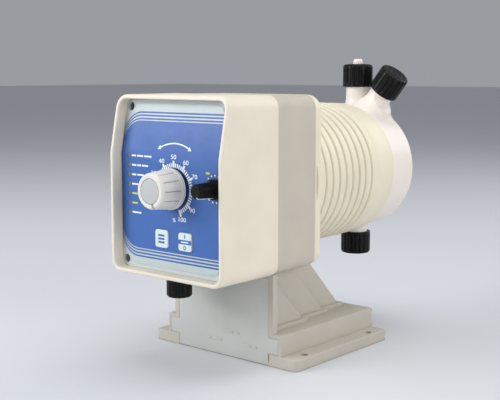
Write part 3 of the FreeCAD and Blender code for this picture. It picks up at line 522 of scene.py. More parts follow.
for node_name, cad_object in frame["nodes"].items():
    cad_object.data.materials.clear()
    cad_object.data.materials.append(MATERIALS[SLOT_OF[node_name]])


def like(node):
    """Material, body and slot of a CAD node, for the piece that stands for it."""
    return MATERIALS[SLOT_OF[node]], BODY_OF[node], SLOT_OF[node]


# ---- shaped meshes -------------------------------------------------------------------------------
def fresh_object(verts, faces):
    """Loose object for an operation."""
    mesh = new_mesh("loose", verts, faces)
    clean(mesh)
    return placed("loose", mesh)


def drop(*objects):
    """Remove loose objects and their meshes."""
    for obj in objects:
        mesh = obj.data
        bpy.data.objects.remove(obj)
        bpy.data.meshes.remove(mesh)


def combine(base, other, operation):
    """Base joined with, or cut by, other; both are used up."""
    step = base.modifiers.new("step", "BOOLEAN")
    step.operation = operation
    step.solver = "EXACT"
    step.object = other
    graph = bpy.context.evaluated_depsgraph_get()
    mesh = bpy.data.meshes.new_from_object(base.evaluated_get(graph))
    drop(base, other)
    return placed("loose", mesh)


def take_mesh(obj):
    """Keep a loose object's mesh and remove the object."""
    mesh = obj.data
    bpy.data.objects.remove(obj)
    return mesh


def bevel(bm, edges, width, segments=3, **options):
    bmesh.ops.bevel(bm, geom=edges, offset=width * MM, segments=segments, profile=0.5, affect="EDGES",
                    **options)


def rounded_solid(shape, width, segments=3, only=None):
    """Loose solid from a shell, its sharp edges rounded; only picks them by their direction."""
    obj = fresh_object(*shape)
    bm = bmesh.new()
    bm.from_mesh(obj.data)
    edges = [e for e in bm.edges if e.calc_face_angle(0.0) > math.radians(25)]
    if only is not None:
        edges = [e for e in edges if abs((e.verts[0].co - e.verts[1].co).normalized().dot(only)) > 0.9]
    bevel(bm, edges, width, segments, clamp_overlap=True)
    bm.to_mesh(obj.data)
    bm.free()
    return obj


def shell_of(obj):
    """(verts, faces) shell in millimetres of a loose object, which is used up."""
    verts = [tuple(v.co / MM) for v in obj.data.vertices]
    faces = [tuple(p.vertices) for p in obj.data.polygons]
    drop(obj)
    return verts, faces


def cad_mesh(node):
    """Copy of a CAD node's mesh, where the node stands."""
    source = frame["nodes"][node]
    mesh = source.data.copy()
    mesh.transform(source.matrix_world)
    return mesh


def softened(node, width, sharp=40.0):
    """Mesh of a simple CAD node with its sharp edges rounded."""
    mesh = cad_mesh(node)
    bm = bmesh.new()
    bm.from_mesh(mesh)
    bmesh.ops.remove_doubles(bm, verts=bm.verts, dist=2e-6)
    bmesh.ops.dissolve_limit(bm, angle_limit=math.radians(1.0), verts=bm.verts, edges=bm.edges)
    edges = [e for e in bm.edges if len(e.link_faces) == 2 and e.calc_face_angle(0.0) > math.radians(sharp)]
    bevel(bm, edges, width, clamp_overlap=False, loop_slide=False)
    bmesh.ops.triangulate(bm, faces=[f for f in bm.faces if len(f.verts) > 4])
    bm.to_mesh(mesh)
    bm.free()
    return mesh


def groove(angle, flutes, share):
    """1 in the middle of a flute, 0 on the ridge; share is the part of the pitch that is flute."""
    turn = angle * flutes / (2 * math.pi) % 1.0
    away = 2 * min(turn, 1 - turn) / share
    return 0.5 + 0.5 * math.cos(math.pi * min(1.0, away))


def flute_angles(flutes, share):
    """Angles round a fluted body, closer together where it is grooved."""
    inside = [share * k / 10 for k in range(-5, 6)]
    ridge = (1 - share) / 2
    outside = [0.5 * share + ridge * k / 3 for k in (1, 2, 3)]
    spots = [-o for o in outside[:2]] + inside + outside
    return [2 * math.pi * (i + spot) / flutes for i in range(flutes) for spot in sorted(spots)]


def ramp(value, start, end):
    """Smooth step from 0 at start to 1 at end."""
    t = max(0.0, min(1.0, (value - start) / (end - start)))
    return t * t * (3 - 2 * t)


def densify(path, step):
    """Cut the long stretches of a closed path into steps."""
    dense = []
    for i, a in enumerate(path):
        b = path[(i + 1) % len(path)]
        count = max(1, int((b - a).length / step))
        dense += [a.lerp(b, k / count) for k in range(count)]
    return dense


RUN_OUT = 0.9               # height over which a flute runs out


def fluted_cap(outline, flutes, share, depth, low, high, inner_radius):
    """Shell turned about the local Z axis, its outside grooved between heights low and high."""
    angles = flute_angles(flutes, share)
    rings = []
    for radius, height in densify(soft_path(outline), 1.2):
        fade = ramp(height, low, low + RUN_OUT)
        if high:
            fade *= 1 - ramp(height, high, high + RUN_OUT)
        if radius < inner_radius:
            fade = 0.0
        ring = []
        for angle in angles:
            r = radius - depth * fade * groove(angle, flutes, share)
            ring.append((r * math.cos(angle), r * math.sin(angle), height))
        rings.append(ring)
    return loft(rings, closed=True)


def moved(shell, matrix):
    """A shell carried by a 4x4 matrix in millimetres."""
    verts, faces = shell
    return [tuple(matrix @ Vector(v)) for v in verts], faces


def along(point, direction):
    """Matrix that stands a local +Z shape at point along direction."""
    turn = Vector(direction).to_track_quat("Z", "Y").to_matrix().to_4x4()
    return Matrix.Translation(Vector(point)) @ turn


def block(x0, x1, y0, y1, z0, z1):
    """Box as a (verts, faces) shell."""
    corners = [(x, y, z) for x in (x0, x1) for y in (y0, y1) for z in (z0, z1)]
    faces = [(0, 1, 3, 2), (4, 6, 7, 5), (0, 4, 5, 1), (2, 3, 7, 6), (0, 2, 6, 4), (1, 5, 7, 3)]
    return corners, faces


# ---- foot ----------------------------------------------------------------------------------------
FOOT = Node("foot_pedestal")
FLANGE_TOP, BLOCK_TOP, PLINTH_TOP = 8.25, 23.2, 26.0
BOLT_X, BOLT_Y, BOLT_R = 63.0, 40.0, 2.75
FOOT_SCREW_X, FOOT_SCREW_YS, FOOT_SCREW_R = 22.0, (-45.0, -24.0), 2.2
LEVELS = ((40.0, 13.5), (35.0, 44.7), (30.0, 71.8))   # half-width and y+z of each sloped rear edge
HOLLOW_FRONT, HOLLOW_BACK = 6.5, 3.0                  # walls left before and behind the hollow


def side_prism(outline, half_width):
    """Solid between -half_width and half_width from a (y, z) outline."""
    verts = [(x, y, z) for x in (-half_width, half_width) for y, z in outline]
    count = len(outline)
    faces = [tuple(range(count)), tuple(range(2 * count - 1, count - 1, -1))]
    faces += [(i, i + count, (i + 1) % count + count, (i + 1) % count) for i in range(count)]
    return verts, faces


def build_foot():
    top, front, back = FOOT.z1, FOOT.y0, FOOT.y1
    flange = rounded_solid(block(FOOT.x0, FOOT.x1, front, back, 0, FLANGE_TOP), 3.0, 5, Vector((0, 0, 1)))
    body = rounded_solid(shell_of(flange), 0.7)
    parts = [(block(-55.4, 55.4, front, back, 0, BLOCK_TOP), 0.8),
             (block(-48.5, 48.5, front, front + 5.2, 0, top), 0.7)]
    low = BLOCK_TOP - 1
    for half_width, limit in LEVELS:
        outline = [(front, low), (limit - low, low), (limit - top, top), (front, top)]
        end = min(limit - PLINTH_TOP + 3.0, back - 2)
        parts += [(side_prism(outline, half_width), 0.7),
                  (block(-half_width - 3, half_width + 3, front, end, low, PLINTH_TOP), 0.6)]
    for shape, width in parts:
        body = combine(body, rounded_solid(shape, width), "UNION")
    for cutter in foot_cutters(top, front, back):
        body = combine(body, fresh_object(*cutter), "DIFFERENCE")
    stand_in("foot_body", take_mesh(body), "foot_pedestal")
    build_foot_plate(front)


def foot_cutters(top, front, back):
    """Hollows from below, bolt and screw holes, the seat of the front plate and its lever slot."""
    half_width, limit = LEVELS[2][0] - 3, LEVELS[2][1] - 4.5
    front_wall, back_wall, roof = front + HOLLOW_FRONT, back - HOLLOW_BACK, top - 4
    hollow = [(front_wall, -1), (back_wall, -1), (back_wall, limit - back + HOLLOW_BACK),
              (limit - top + 4, roof), (front_wall, roof)]
    yield side_prism(hollow, half_width)
    yield block(-52.4, 52.4, front_wall, back_wall, -1, BLOCK_TOP - 3)
    for x in (-BOLT_X, BOLT_X):
        for y in (-BOLT_Y, BOLT_Y):
            yield rod(BOLT_R, -1, 9.3, x, y, True, 40)
    for x in (-FOOT_SCREW_X, FOOT_SCREW_X):
        for y in FOOT_SCREW_YS:
            yield rod(FOOT_SCREW_R, top - 5, top + 1, x, y, True, 40)
    for x, low, high in ((44.15, 0.45, 63.15), (53.15, 9.05, 20.75)):
        yield block(-x, x, front - 1, front + 2.65, low, high)
    yield block(44.1, 44.9, front - 1, front + 1.2, 4.0, 9.1)


PLATE_T = 2.5
BARS = ((9.4, 19.3, (9.0, 4.5)), (-7.8, 11.4, (4.5, 9.5)), (27.2, 11.4, (6.5, 4.8)))   # middle x, z, lengths
BAR_GAP = 1.5


def build_foot_plate(front):
    """T-shaped front plate with raised bars where a maker would put words."""
    plate = rounded_solid(block(-44, 44, front, front + PLATE_T, 0.6, 63.0), 0.3, 2)
    wings = rounded_solid(block(-53, 53, front, front + PLATE_T, 9.2, 20.6), 0.3, 2)
    plate = combine(plate, wings, "UNION")
    for x, z, widths in BARS:
        left = x - (sum(widths) + BAR_GAP) / 2
        for width in widths:
            raised = block(left, left + width, front - 0.5, front + 1.0, z - 1.0, z + 1.0)
            plate = combine(plate, rounded_solid(raised, 0.15, 2), "UNION")
            left += width + BAR_GAP
    stand_in("foot_plate", take_mesh(plate), "foot_front_plate")


# ---- housings ------------------------------------------------------------------------------------
BOX_CORNER = 9.0
BARREL_BORE = 50.5


def rounding(start, end, steps=6):
    """Angles for a rounded edge."""
    return [math.radians(start + (end - start) * k / steps) for k in range(steps + 1)]


def back_edge(edge, back):
    """(inset, y) points that round a moulding's rear edge."""
    return [(edge - edge * math.cos(t), back - edge + edge * math.sin(t)) for t in rounding(0, 90)]


def cover_section(front, back, rim, lip):
    """Section of the hood's wall as (inset, y, leans with the kink), from the seam round the rim."""
    section = [(WALL, back - 0.3, False), (WALL, back - 20.0, False), (WALL, front + 22.0, True),
               (WALL, front + FASCIA_RECESS, True), (WALL - 0.15, front + 4.0, True)]
    section += [(WALL - lip + lip * math.cos(t), front + lip - lip * math.sin(t), True)
                for t in rounding(0, 90)]
    section += [(rim - rim * math.sin(t), front + rim - rim * math.cos(t), True) for t in rounding(0, 90)]
    section += [(0.0, front + 8.0, True), (0.0, front + 22.0, True), (0.0, back - 20.0, False)]
    section += [(inset, y, False) for inset, y in back_edge(1.0, back)]
    section.append((WALL - 0.3, back, False))
    return section


def build_cover():
    """Hood with a rounded rim, its front following the kink."""
    rings = [box_ring(COVER, inset, BOX_CORNER, y, leaning, side=24)
             for inset, y, leaning in cover_section(COVER.y0, COVER.y1, 1.5, 0.9)]
    stand_in("cover_shell", loft(rings, closed=True), "front_cover")


def build_middle():
    """Plain ring between the hood and the motor housing."""
    front, back, edge = MIDDLE.y0, MIDDLE.y1, 0.6
    section = [(WALL, front)]
    section += [(edge - edge * math.sin(t), front + edge - edge * math.cos(t)) for t in rounding(0, 90)]
    section += back_edge(edge, back) + [(WALL, back)]
    rings = [box_ring(MIDDLE, inset, BOX_CORNER, y) for inset, y in section]
    stand_in("middle_shell", loft(rings, closed=True), "mid_housing")


def barrel_outline():
    """(radius, y, rounding) corners of the ribbed barrel, from the bore round the outside and back."""
    top, mouth = 54.4, 41.0
    front, end = MOTOR.y0 + 2.0, MOTOR.y1
    points = [(BARREL_BORE, front, 0.3), (top, front, 0.3)]
    first, pitch, count, depth = -2.8, 8.43, 8, 2.4
    for i in range(count):
        y = first + i * pitch
        points += [(top, y - 1.3, 0.8), (top - depth, y - 0.7, 0.4), (top - depth, y + 0.7, 0.4),
                   (top, y + 1.3, 0.8)]
    step = first + count * pitch
    points += [(top, step - 1.6, 1.2), (top - 1.1, step, 1.0), (top - 0.5, step + 1.8, 1.6),
               (top - 0.6, step + 13.0, 3.0), (top - 1.0, end - 3.0, 3.0), (top - 1.9, end, 1.1),
               (mouth, end, 0.3), (mouth, end - 11.0, 0.3), (BARREL_BORE, end - 13.0, 0.3)]
    return points


def build_motor_housing():
    """Ribbed barrel, and its square flange with four screw seats."""
    stand_in("motor_barrel", lathe(soft_path(barrel_outline(), steps=3)), "motor_housing")
    front, back, edge = MOTOR.y0, MOTOR.y0 + 8.0, 2.5
    section = [(edge, front, BOX_CORNER), (0.5, front, 12.0), (0.0, front + 0.5, 12.0)]
    section += [(inset, y, 12.0) for inset, y in back_edge(edge, back)]
    rings = [box_ring(MIDDLE, inset, radius, y) for inset, y, radius in section]
    angles = [math.atan2(z - AXIS_Z, x) for x, _, z in rings[0]]
    hole = [(BARREL_BORE * math.cos(a), BARREL_BORE * math.sin(a)) for a in angles]
    rings += [[(x, y, AXIS_Z + z) for x, z in hole] for y in (back, front)]
    flange = fresh_object(*loft(rings, closed=True))
    screws, head = Node("housing_screws"), 3.3
    for x in (screws.x0 + head, screws.x1 - head):
        for z in (screws.z0 + head, screws.z1 - head):
            flange = combine(flange, fresh_object(*rod(3.6, back - 3.2, back + 2, x, z)), "DIFFERENCE")
    stand_in("motor_flange", take_mesh(flange), "motor_housing")


# ---- pump head -----------------------------------------------------------------------------------
def blend_union(a, b, k):
    """Smooth minimum of two distance fields."""
    h = np.clip(0.5 + 0.5 * (b - a) / k, 0.0, 1.0)
    return b * (1 - h) + a * h - k * h * (1 - h)


def blend_cut(a, b, k):
    """Take b away from a, with an edge rounded by k."""
    return -blend_union(-a, b, k)


def round_post(along_axis, off_axis, low, high, radius, edge):
    """Distance to a cylinder with rounded ends."""
    side = off_axis - radius + edge
    end = np.maximum(low - along_axis, along_axis - high) + edge
    return np.minimum(np.maximum(side, end), 0.0) + np.hypot(np.maximum(side, 0), np.maximum(end, 0)) - edge


def tapering(along_axis, off_axis, stations):
    """Rough distance to a body turned from (height, radius) stations, smooth between them."""
    heights, radii = zip(*stations)
    radius = np.interp(along_axis, heights, radii)
    end = np.maximum(heights[0] - along_axis, along_axis - heights[-1])
    slope = np.interp(along_axis, heights, np.abs(np.gradient(radii, heights)))
    return np.maximum((off_axis - radius) / np.sqrt(1 + slope ** 2), end)


HEAD_R, PORT_BORE = 50.0, 6.85
BLEED_ROOT_Z, BLEED_TILT, WEB_TILT = 158.3, math.radians(38.2), 0.2   # the web leans out further
TOP_PORT = ((150, 14.0), (168, 13.5), (178, 11.0), (184, 9.7), (190, 9.6), (HEAD.z1, 9.6))
LOW_PORT = ((HEAD.z0, 9.6), (74, 9.6), (80, 11.0), (90, 13.5), (100, 14.0))
BLEED_PORT = ((4, 15.5), (14, 14.0), (22, 12.0), (29, 10.0), (34, 9.6), (53.6, 9.6))
WEB = ((2, 19.0), (14, 17.0), (22, 14.5), (29, 11.5), (33, 9.0))


def leaning_line(x, y, z, tilt):
    """Height along, and distance from, a line that leans by tilt from the bleed port's root."""
    rise = z - BLEED_ROOT_Z
    return (x * math.sin(tilt) + rise * math.cos(tilt),
            np.hypot(x * math.cos(tilt) - rise * math.sin(tilt), y - PORT_Y))


def head_field(x, y, z):
    """Signed distance to the pump head, in millimetres."""
    edge = np.where(y > (HEAD.y0 + HEAD.y1) / 2, 3.8, 0.8)
    disc = round_post(y, np.hypot(x, z - AXIS_Z), HEAD.y0, HEAD.y1, HEAD_R, edge)
    off_port = np.hypot(x, y - PORT_Y)
    up_bleed, off_bleed = leaning_line(x, y, z, BLEED_TILT)
    up_web, off_web = leaning_line(x, y, z, BLEED_TILT + WEB_TILT)
    keep = np.maximum(HEAD.y0 + 2.0 - y, y - (HEAD.y1 - 1.2))
    top = np.maximum(tapering(z, off_port, TOP_PORT), keep)
    bottom = np.maximum(tapering(z, off_port, LOW_PORT), keep)
    bleed = np.maximum(tapering(up_bleed, off_bleed, BLEED_PORT), keep)
    web = np.maximum(tapering(up_web, off_web, WEB), keep)
    field = blend_union(disc, bottom, 3.0)
    field = blend_union(field, blend_union(top, bleed, 0.8), 3.0)
    field = blend_union(field, web, 5.0)
    for cut in head_cuts(x, y, z, off_port, up_bleed, off_bleed):
        field = blend_cut(field, cut, 0.25)
    return field


def head_cuts(x, y, z, off_port, up_bleed, off_bleed):
    """Ports, needle way and screw counterbores."""
    off_axis = np.hypot(x, z - AXIS_Z)
    cuts = [round_post(*cut, 0.1) for cut in (
        (z, off_port, 163.9, HEAD.z1 + 5, PORT_BORE), (z, off_port, 40.0, 92.1, PORT_BORE),
        (up_bleed, off_bleed, 12.0, 47.0, 3.2), (up_bleed, off_bleed, 46.0, 90.0, 4.75),
        (y, off_axis, HEAD.y0 - 5, HEAD.y0 + 3.0, 27.5))]
    for k in range(6):
        angle = math.radians(60 * k)
        off = np.hypot(x - 44.6 * math.cos(angle), z - AXIS_Z - 44.6 * math.sin(angle))
        for low, radius in ((HEAD.y1 - 5.0, 4.3), (HEAD.y0 - 5, 2.15)):
            cuts.append(round_post(y, off, low, HEAD.y1 + 5, radius, 0.1))
    return cuts


def surface_of(field, low, high, pitch):
    """Quads of the zero surface of a field over a box: one vertex a cell, pulled on the surface."""
    axes = [np.arange(a - 2 * pitch, b + 3 * pitch, pitch) for a, b in zip(low, high)]
    values = field(*np.meshgrid(*axes, indexing="ij"))
    inside = values < 0
    corner = [inside[i:i - 1 or None, j:j - 1 or None, k:k - 1 or None]
              for i in (0, 1) for j in (0, 1) for k in (0, 1)]
    count = sum(c.astype(np.int8) for c in corner)
    crossed = (count > 0) & (count < 8)
    index = np.full(crossed.shape, -1, dtype=np.int64)
    index[crossed] = np.arange(crossed.sum())
    cells = np.argwhere(crossed)
    points = np.stack([axes[d][cells[:, d]] + pitch / 2 for d in range(3)], axis=1)
    points = pull(points, field, pitch)
    quads = []
    for d in range(3):
        u, v = [e for e in range(3) if e != d]
        first = np.moveaxis(inside, d, 0)[:-1]
        second = np.moveaxis(inside, d, 0)[1:]
        edges = np.argwhere(np.moveaxis(first != second, 0, d))
        edges = edges[(edges[:, u] > 0) & (edges[:, v] > 0)]
        steps = np.zeros((4, 3), dtype=np.int64)
        steps[1, u] = steps[2, u] = steps[2, v] = steps[3, v] = -1
        corners = np.stack([index[tuple((edges + s).T)] for s in steps], axis=1)
        flip = inside[tuple(edges.T)] == (d != 1)
        corners[flip] = corners[flip][:, ::-1]
        quads.append(corners)
    quads = np.concatenate(quads)
    for _ in range(4):
        points = pull(evened(points, quads), field, pitch, 2)
    return points, quads


def evened(points, quads):
    """Move each point towards the middle of its neighbours."""
    total = np.zeros_like(points)
    count = np.zeros(len(points))
    for side in range(4):
        a, b = quads[:, side], quads[:, (side + 1) % 4]
        for one, other in ((a, b), (b, a)):
            np.add.at(total, one, points[other])
            np.add.at(count, one, 1)
    return 0.4 * points + 0.6 * total / np.maximum(count, 1)[:, None]


def pull(points, field, pitch, rounds=6):
    """Move points onto the zero surface along the field's slope."""
    h = pitch * 0.05
    for _ in range(rounds):
        value = field(*points.T)
        slope = np.stack([(field(*(points + nudge).T) - field(*(points - nudge).T)) / (2 * h)
                          for nudge in h * np.eye(3)], axis=1)
        size = np.maximum((slope ** 2).sum(axis=1), 0.25)
        step = slope * (value / size)[:, None]
        length = np.linalg.norm(step, axis=1)[:, None]
        points = points - step * np.minimum(1.0, 0.6 * pitch / np.maximum(length, 1e-9))
    return points


def build_head():
    low, high = (-HEAD_R, HEAD.y0, HEAD.z0), (HEAD_R, HEAD.y1, HEAD.z1)
    points, quads = surface_of(head_field, low, high, 0.8)
    points = np.clip(points, (HEAD.x0, HEAD.y0, HEAD.z0), (HEAD.x1, HEAD.y1, HEAD.z1))
    stand_in("head_body", (points.tolist(), [tuple(q) for q in quads.tolist()]), "pump_head", sharp=50.0)


# ---- caps and knobs ------------------------------------------------------------------------------
JOINTS = {joint["name"]: joint for joint in frame["record"]["behaviour"]["joints"]}
CAP_R, CAP_LEN, CAP_BORE = 12.35, 18.6, 9.9


def nut_outline():
    """Union nut: open rim at height 0, holed top."""
    return [(CAP_BORE, 0, 0.3), (CAP_R, 0, 0.5), (CAP_R, CAP_LEN - 0.2, 2.4), (6.3, CAP_LEN + 0.6, 0.6),
            (6.3, CAP_LEN - 3, 0.3), (CAP_BORE, CAP_LEN - 3, 0.4)]


def hand_cap(outline):
    """Cap with the ribs that the nuts and the bleed knob share."""
    return fluted_cap(outline, 18, 0.55, 0.85, 1.7, None, CAP_BORE + 1.0)


def nut_rims():
    """Name, direction and rim height of the two union nuts."""
    for name, up in (("discharge_nut", 1), ("suction_nut", -1)):
        nut = Node(name)
        yield name, up, nut.z0 if up > 0 else nut.z1


def build_nuts():
    for name, up, rim in nut_rims():
        shell = moved(hand_cap(nut_outline()), along((0, PORT_Y, rim), (0, 0, up)))
        stand_in(name + "_cap", shell, name, sharp=50.0)


BLEED_CAP_LEN = 19.1
BLEED_PIVOT_UP = 50.2 - 41.1    # from the cap's rim to the joint's place


def build_bleed_knob():
    joint, length = JOINTS["bleed_turn"], BLEED_CAP_LEN
    outline = [(CAP_BORE, 0, 0.3), (CAP_R, 0, 0.5), (CAP_R, length, 2.8), (8.3, length, 0.3),
               (8.1, length - 0.45, 0.3), (6.9, length - 0.45, 0.3), (6.7, length, 0.3), (4.2, length, 0.3),
               (4.0, length - 0.45, 0.3), (2.9, length - 0.45, 0.3), (2.7, length, 0.3), (0, length, 0),
               (0, length - 2.0, 0), (2.55, length - 2.0, 0.1), (2.55, length - 4.0, 0.2),
               (CAP_BORE, length - 4.0, 0.4)]
    centre = Vector(joint["pos_m"]) / MM
    axis = Vector(joint["axis"])
    shell = moved(hand_cap(outline), along(centre - axis * BLEED_PIVOT_UP, axis))
    stand_in("bleed_cap", shell, "bleed_knob", sharp=50.0)


def build_gland_cap():
    cap = Node("gland_cap")
    radius = (cap.x1 - cap.x0) / 2
    length = cap.z1 - cap.z0
    outline = [(6.2, 0, 0.3), (radius, 0, 0.5), (radius, length, 2.2), (4.9, length, 0.8),
               (4.9, length - 4.0, 0.3), (6.2, length - 4.0, 0.3)]
    shell = fluted_cap(outline, 12, 0.4, 0.6, 1.8, None, 7.2)
    stand_in("gland_nut", moved(shell, along((cap.x, cap.y, cap.z1), (0, 0, -1))), "gland_cap", sharp=50.0)


NIPPLE_UP = 10.5 + 0.7         # from a nut's rim to its nipple


def build_nipples():
    shells = []
    for _, up, rim in nut_rims():
        length = 12.0 if up > 0 else 7.0
        outline = [(2.2, 0, 0.2), (9.3, 0, 0.3), (9.3, 2.2, 0.3), (4.0, 2.2, 0.8), (4.0, length - 2.2, 1.2),
                   (3.1, length, 1.0), (2.2, length, 0.3)]
        shell = lathe(soft_path(outline), 64, upright=True)
        shells.append(moved(shell, along((0, PORT_Y, rim + up * NIPPLE_UP), (0, 0, up))))
    stand_in("hose_tips", join_shells(*shells), "hose_nipples")


DIAL_POINTER, SELECTOR_POINTER = 164.0, 160.0   # degrees clockwise from the top


def build_dial():
    back, front = DIAL.y1, DIAL.y0
    length = back - front
    big, small = 14.2, 12.1
    outline = [(6.2, 0, 0.3), (6.2, 13.0, 0.2), (big - 2.6, 13.0, 0.2), (big - 2.6, 0, 0.3), (big, 0, 0.6),
               (big, 3.0, 0.4), (big - 0.4, 3.4, 0.4), (small + 0.1, length - 1.2, 1.1),
               (small - 0.9, length, 0.7), (8.75, length, 0.3), (8.75, length - 1.0, 0.1),
               (3.0, length - 1.0, 0.1), (3.0, 0, 0.2)]
    shell = fluted_cap(outline, 12, 0.15, 1.0, 3.6, length - 3.6, small - 1.6)
    knob = fresh_object(*moved(shell, along((DIAL.x, back, AXIS_Z), (0, -1, 0))))
    notch = pointer_slot(DIAL.x, AXIS_Z, 2.2, 8.2, 13.5, front, 2.2, DIAL_POINTER)
    knob = combine(knob, fresh_object(*notch), "DIFFERENCE")
    stand_in("dial_body", take_mesh(knob), "dial_knob")
    disc = lathe(soft_path([(0, 0.85, 0), (0, 0, 0), (8.5, 0, 0.3), (8.5, 0.85, 0)]), 96, upright=True)
    stand_in("dial_disc", moved(disc, along((DIAL.x, Node("dial_cap").y0, AXIS_Z), (0, 1, 0))), "dial_cap")


def pointer_slot(x, z, width, near, far, face, depth, clock):
    """Cutter or inlay for a radial mark; clock is in degrees clockwise from the top."""
    return moved(block(-width / 2, width / 2, face - 1, face + depth, near, far), clock_turn(x, z, clock))


def clock_turn(x, z, clock):
    """Matrix that turns a shape pointing up to clock degrees about (x, z)."""
    return Matrix.Translation((x, 0, z)) @ Matrix.Rotation(math.radians(clock), 4, "Y")


def build_selector():
    back, front = SELECTOR.y1, SELECTOR.y0
    length = back - front
    outline = [(3.0, 0, 0.2), (6.8, 0, 0.3), (6.8, 2.4, 0.5), (5.7, 3.1, 0.4), (4.95, length - 0.9, 0.8),
               (4.0, length, 0.5), (0, length, 0), (0, 6.0, 0), (3.0, 6.0, 0.1)]
    shell = fluted_cap(outline, 10, 0.3, 0.35, 3.6, length - 2.2, 4.4)
    shell = moved(shell, along((SELECTOR.x, back, SELECTOR.z), (0, -1, 0)))
    stand_in("selector_body", shell, "selector_knob", sharp=45.0)
    verts, faces = pointer_slot(SELECTOR.x, SELECTOR.z, 1.0, 1.0, 4.3, front, 0.3, SELECTOR_POINTER)
    face = [(x, max(y, front + 0.02), z) for x, y, z in verts], faces
    line = moved(sloped_bar(1.0, front + 0.7, 4.3, 5.1, back - 3.4, 4.9, 5.85),
                 clock_turn(SELECTOR.x, SELECTOR.z, SELECTOR_POINTER))
    finish_piece("selector_mark", new_mesh("selector_mark", *join_shells(face, line)),
                 MATERIALS["white_plastic"], BODY_OF["selector_knob"], "white_plastic")


def sloped_bar(width, y0, near0, far0, y1, near1, far1):
    """Bar along Y whose distance from the axis changes from one end to the other."""
    half = width / 2
    corners = [(x, y, z) for x in (-half, half) for y, near, far in ((y0, near0, far0), (y1, near1, far1))
               for z in (near, far)]
    return corners, block(0, 1, 0, 1, 0, 1)[1]


def build_keys():
    for name in ("menu_key", "power_key"):
        stand_in(name + "_cap", softened(name, 0.45), name)


# ---- inner pieces that flex ----------------------------------------------------------------------
def build_springs():
    """The two inner springs, each shown as a copy of its CAD mesh on a mesh of its own."""
    for name, joint in (("dial_spring", "dial_push"), ("return_spring", "armature_stroke")):
        spring = Node(name)
        coil = stand_in(name + "_coil", cad_mesh(name), name)
        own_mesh(coil)


def build_diaphragm():
    """Coated disc whose middle is dished deep enough for the stroke of its core."""
    outline = [(0, 88.95, 0), (12.7, 88.95, 0.2), (13.6, 87.7, 0.4), (20.0, 86.6, 1.0), (26.0, 86.2, 1.0),
               (40.6, 86.2, 0.2), (40.6, 90.0, 0.2), (30.0, 90.0, 0.5), (24.0, 88.6, 0.8), (14.0, 90.2, 0.8),
               (0, 90.2, 0)]
    stand_in("diaphragm_disc", lathe(soft_path(outline)), "diaphragm")


# ---- printing on the panel -----------------------------------------------------------------------
def film_y(z):
    """Front of the film at height z; unlike the rim it bends sharply at the kink."""
    return COVER.y0 + FASCIA_RECESS - FILM + max(0.0, RAKE * (z - KINK_Z) / (COVER.z1 - KINK_Z))


def printed(name, areas, material, lift, surface=film_y, body="pump_body", slot="overlay_film"):
    """Thin ink on a surface; an area is a list of loops in (x, z), its outside and any holes."""
    bm = bmesh.new()
    for area in areas:
        loops = [[Vector((x, z, 0)) for x, z in loop] for loop in area]
        verts = [bm.verts.new((x, 0, z)) for loop in area for x, z in loop]
        for triangle in tessellate_polygon(loops):
            if len(set(triangle)) == 3:
                bm.faces.new([verts[i] for i in triangle])
    bmesh.ops.remove_doubles(bm, verts=bm.verts, dist=1e-4)
    if any(v.co.z > KINK_Z for v in bm.verts):
        everything = bm.verts[:] + bm.edges[:] + bm.faces[:]
        bmesh.ops.bisect_plane(bm, geom=everything, plane_co=(0, 0, KINK_Z), plane_no=(0, 0, 1), dist=1e-5)
    bmesh.ops.recalc_face_normals(bm, faces=bm.faces)
    skin = bm.faces[:]
    copy = bmesh.ops.extrude_face_region(bm, geom=skin)["geom"]
    raised = {v for v in copy if isinstance(v, bmesh.types.BMVert)}
    for vert in bm.verts:
        vert.co.y = surface(vert.co.z) + (-lift if vert in raised else 0.02)
    bmesh.ops.recalc_face_normals(bm, faces=bm.faces)
    bm.transform(Matrix.Scale(MM, 4))
    mesh = bpy.data.meshes.new(name)
    bm.to_mesh(mesh)
    bm.free()
    finish_piece(name, mesh, material, body, slot, sharp=30.0)


def frame_outline(low, high, half=49.8):
    """Printed field: wide corners on the left, tight ones on the right."""
    corners = ((half, high, 2.5, 0), (-half, high, 16.0, 90), (-half, low, 16.0, 180), (half, low, 2.5, 270))
    outline = []
    for x, z, radius, start in corners:
        cx, cz = x - math.copysign(radius, x), z - radius if z == high else z + radius
        outline += [(cx + radius * math.cos(t), cz + radius * math.sin(t))
                    for t in rounding(start, start + 90, 14)]
    return outline


def clock_point(x, z, radius, clock):
    """Point at radius from (x, z); clock is in degrees clockwise from the top."""
    angle = math.radians(clock)
    return x + radius * math.sin(angle), z + radius * math.cos(angle)


def radial_bar(x, z, near, far, clock, width):
    """Bar pointing away from (x, z) towards clock degrees."""
    out = Vector(clock_point(0, 0, 1, clock))
    side = Vector((out.y, -out.x)) * width / 2
    centre = Vector((x, z))
    return [tuple(centre + out * r + side * s) for r, s in ((near, 1), (far, 1), (far, -1), (near, -1))]


def bar(x0, x1, z0, z1):
    return [(x0, z0), (x1, z0), (x1, z1), (x0, z1)]


def lettering(text, x, z, size, wide):
    """Outlines of a short string from the built-in font, centred on (x, z)."""
    curve = bpy.data.curves.new("glyphs", "FONT")
    curve.body, curve.size = text, size
    curve.align_x, curve.align_y = "CENTER", "CENTER"
    curve.resolution_u = 5
    curve.offset = 0.010 * size
    obj = placed("glyphs", curve)
    graph = bpy.context.evaluated_depsgraph_get()
    mesh = bpy.data.meshes.new_from_object(obj.evaluated_get(graph))
    shapes = [[[(x + wide * mesh.vertices[i].co.x, z + mesh.vertices[i].co.y) for i in polygon.vertices]]
              for polygon in mesh.polygons]
    bpy.data.objects.remove(obj)
    bpy.data.meshes.remove(mesh)
    bpy.data.curves.remove(curve)
    return shapes


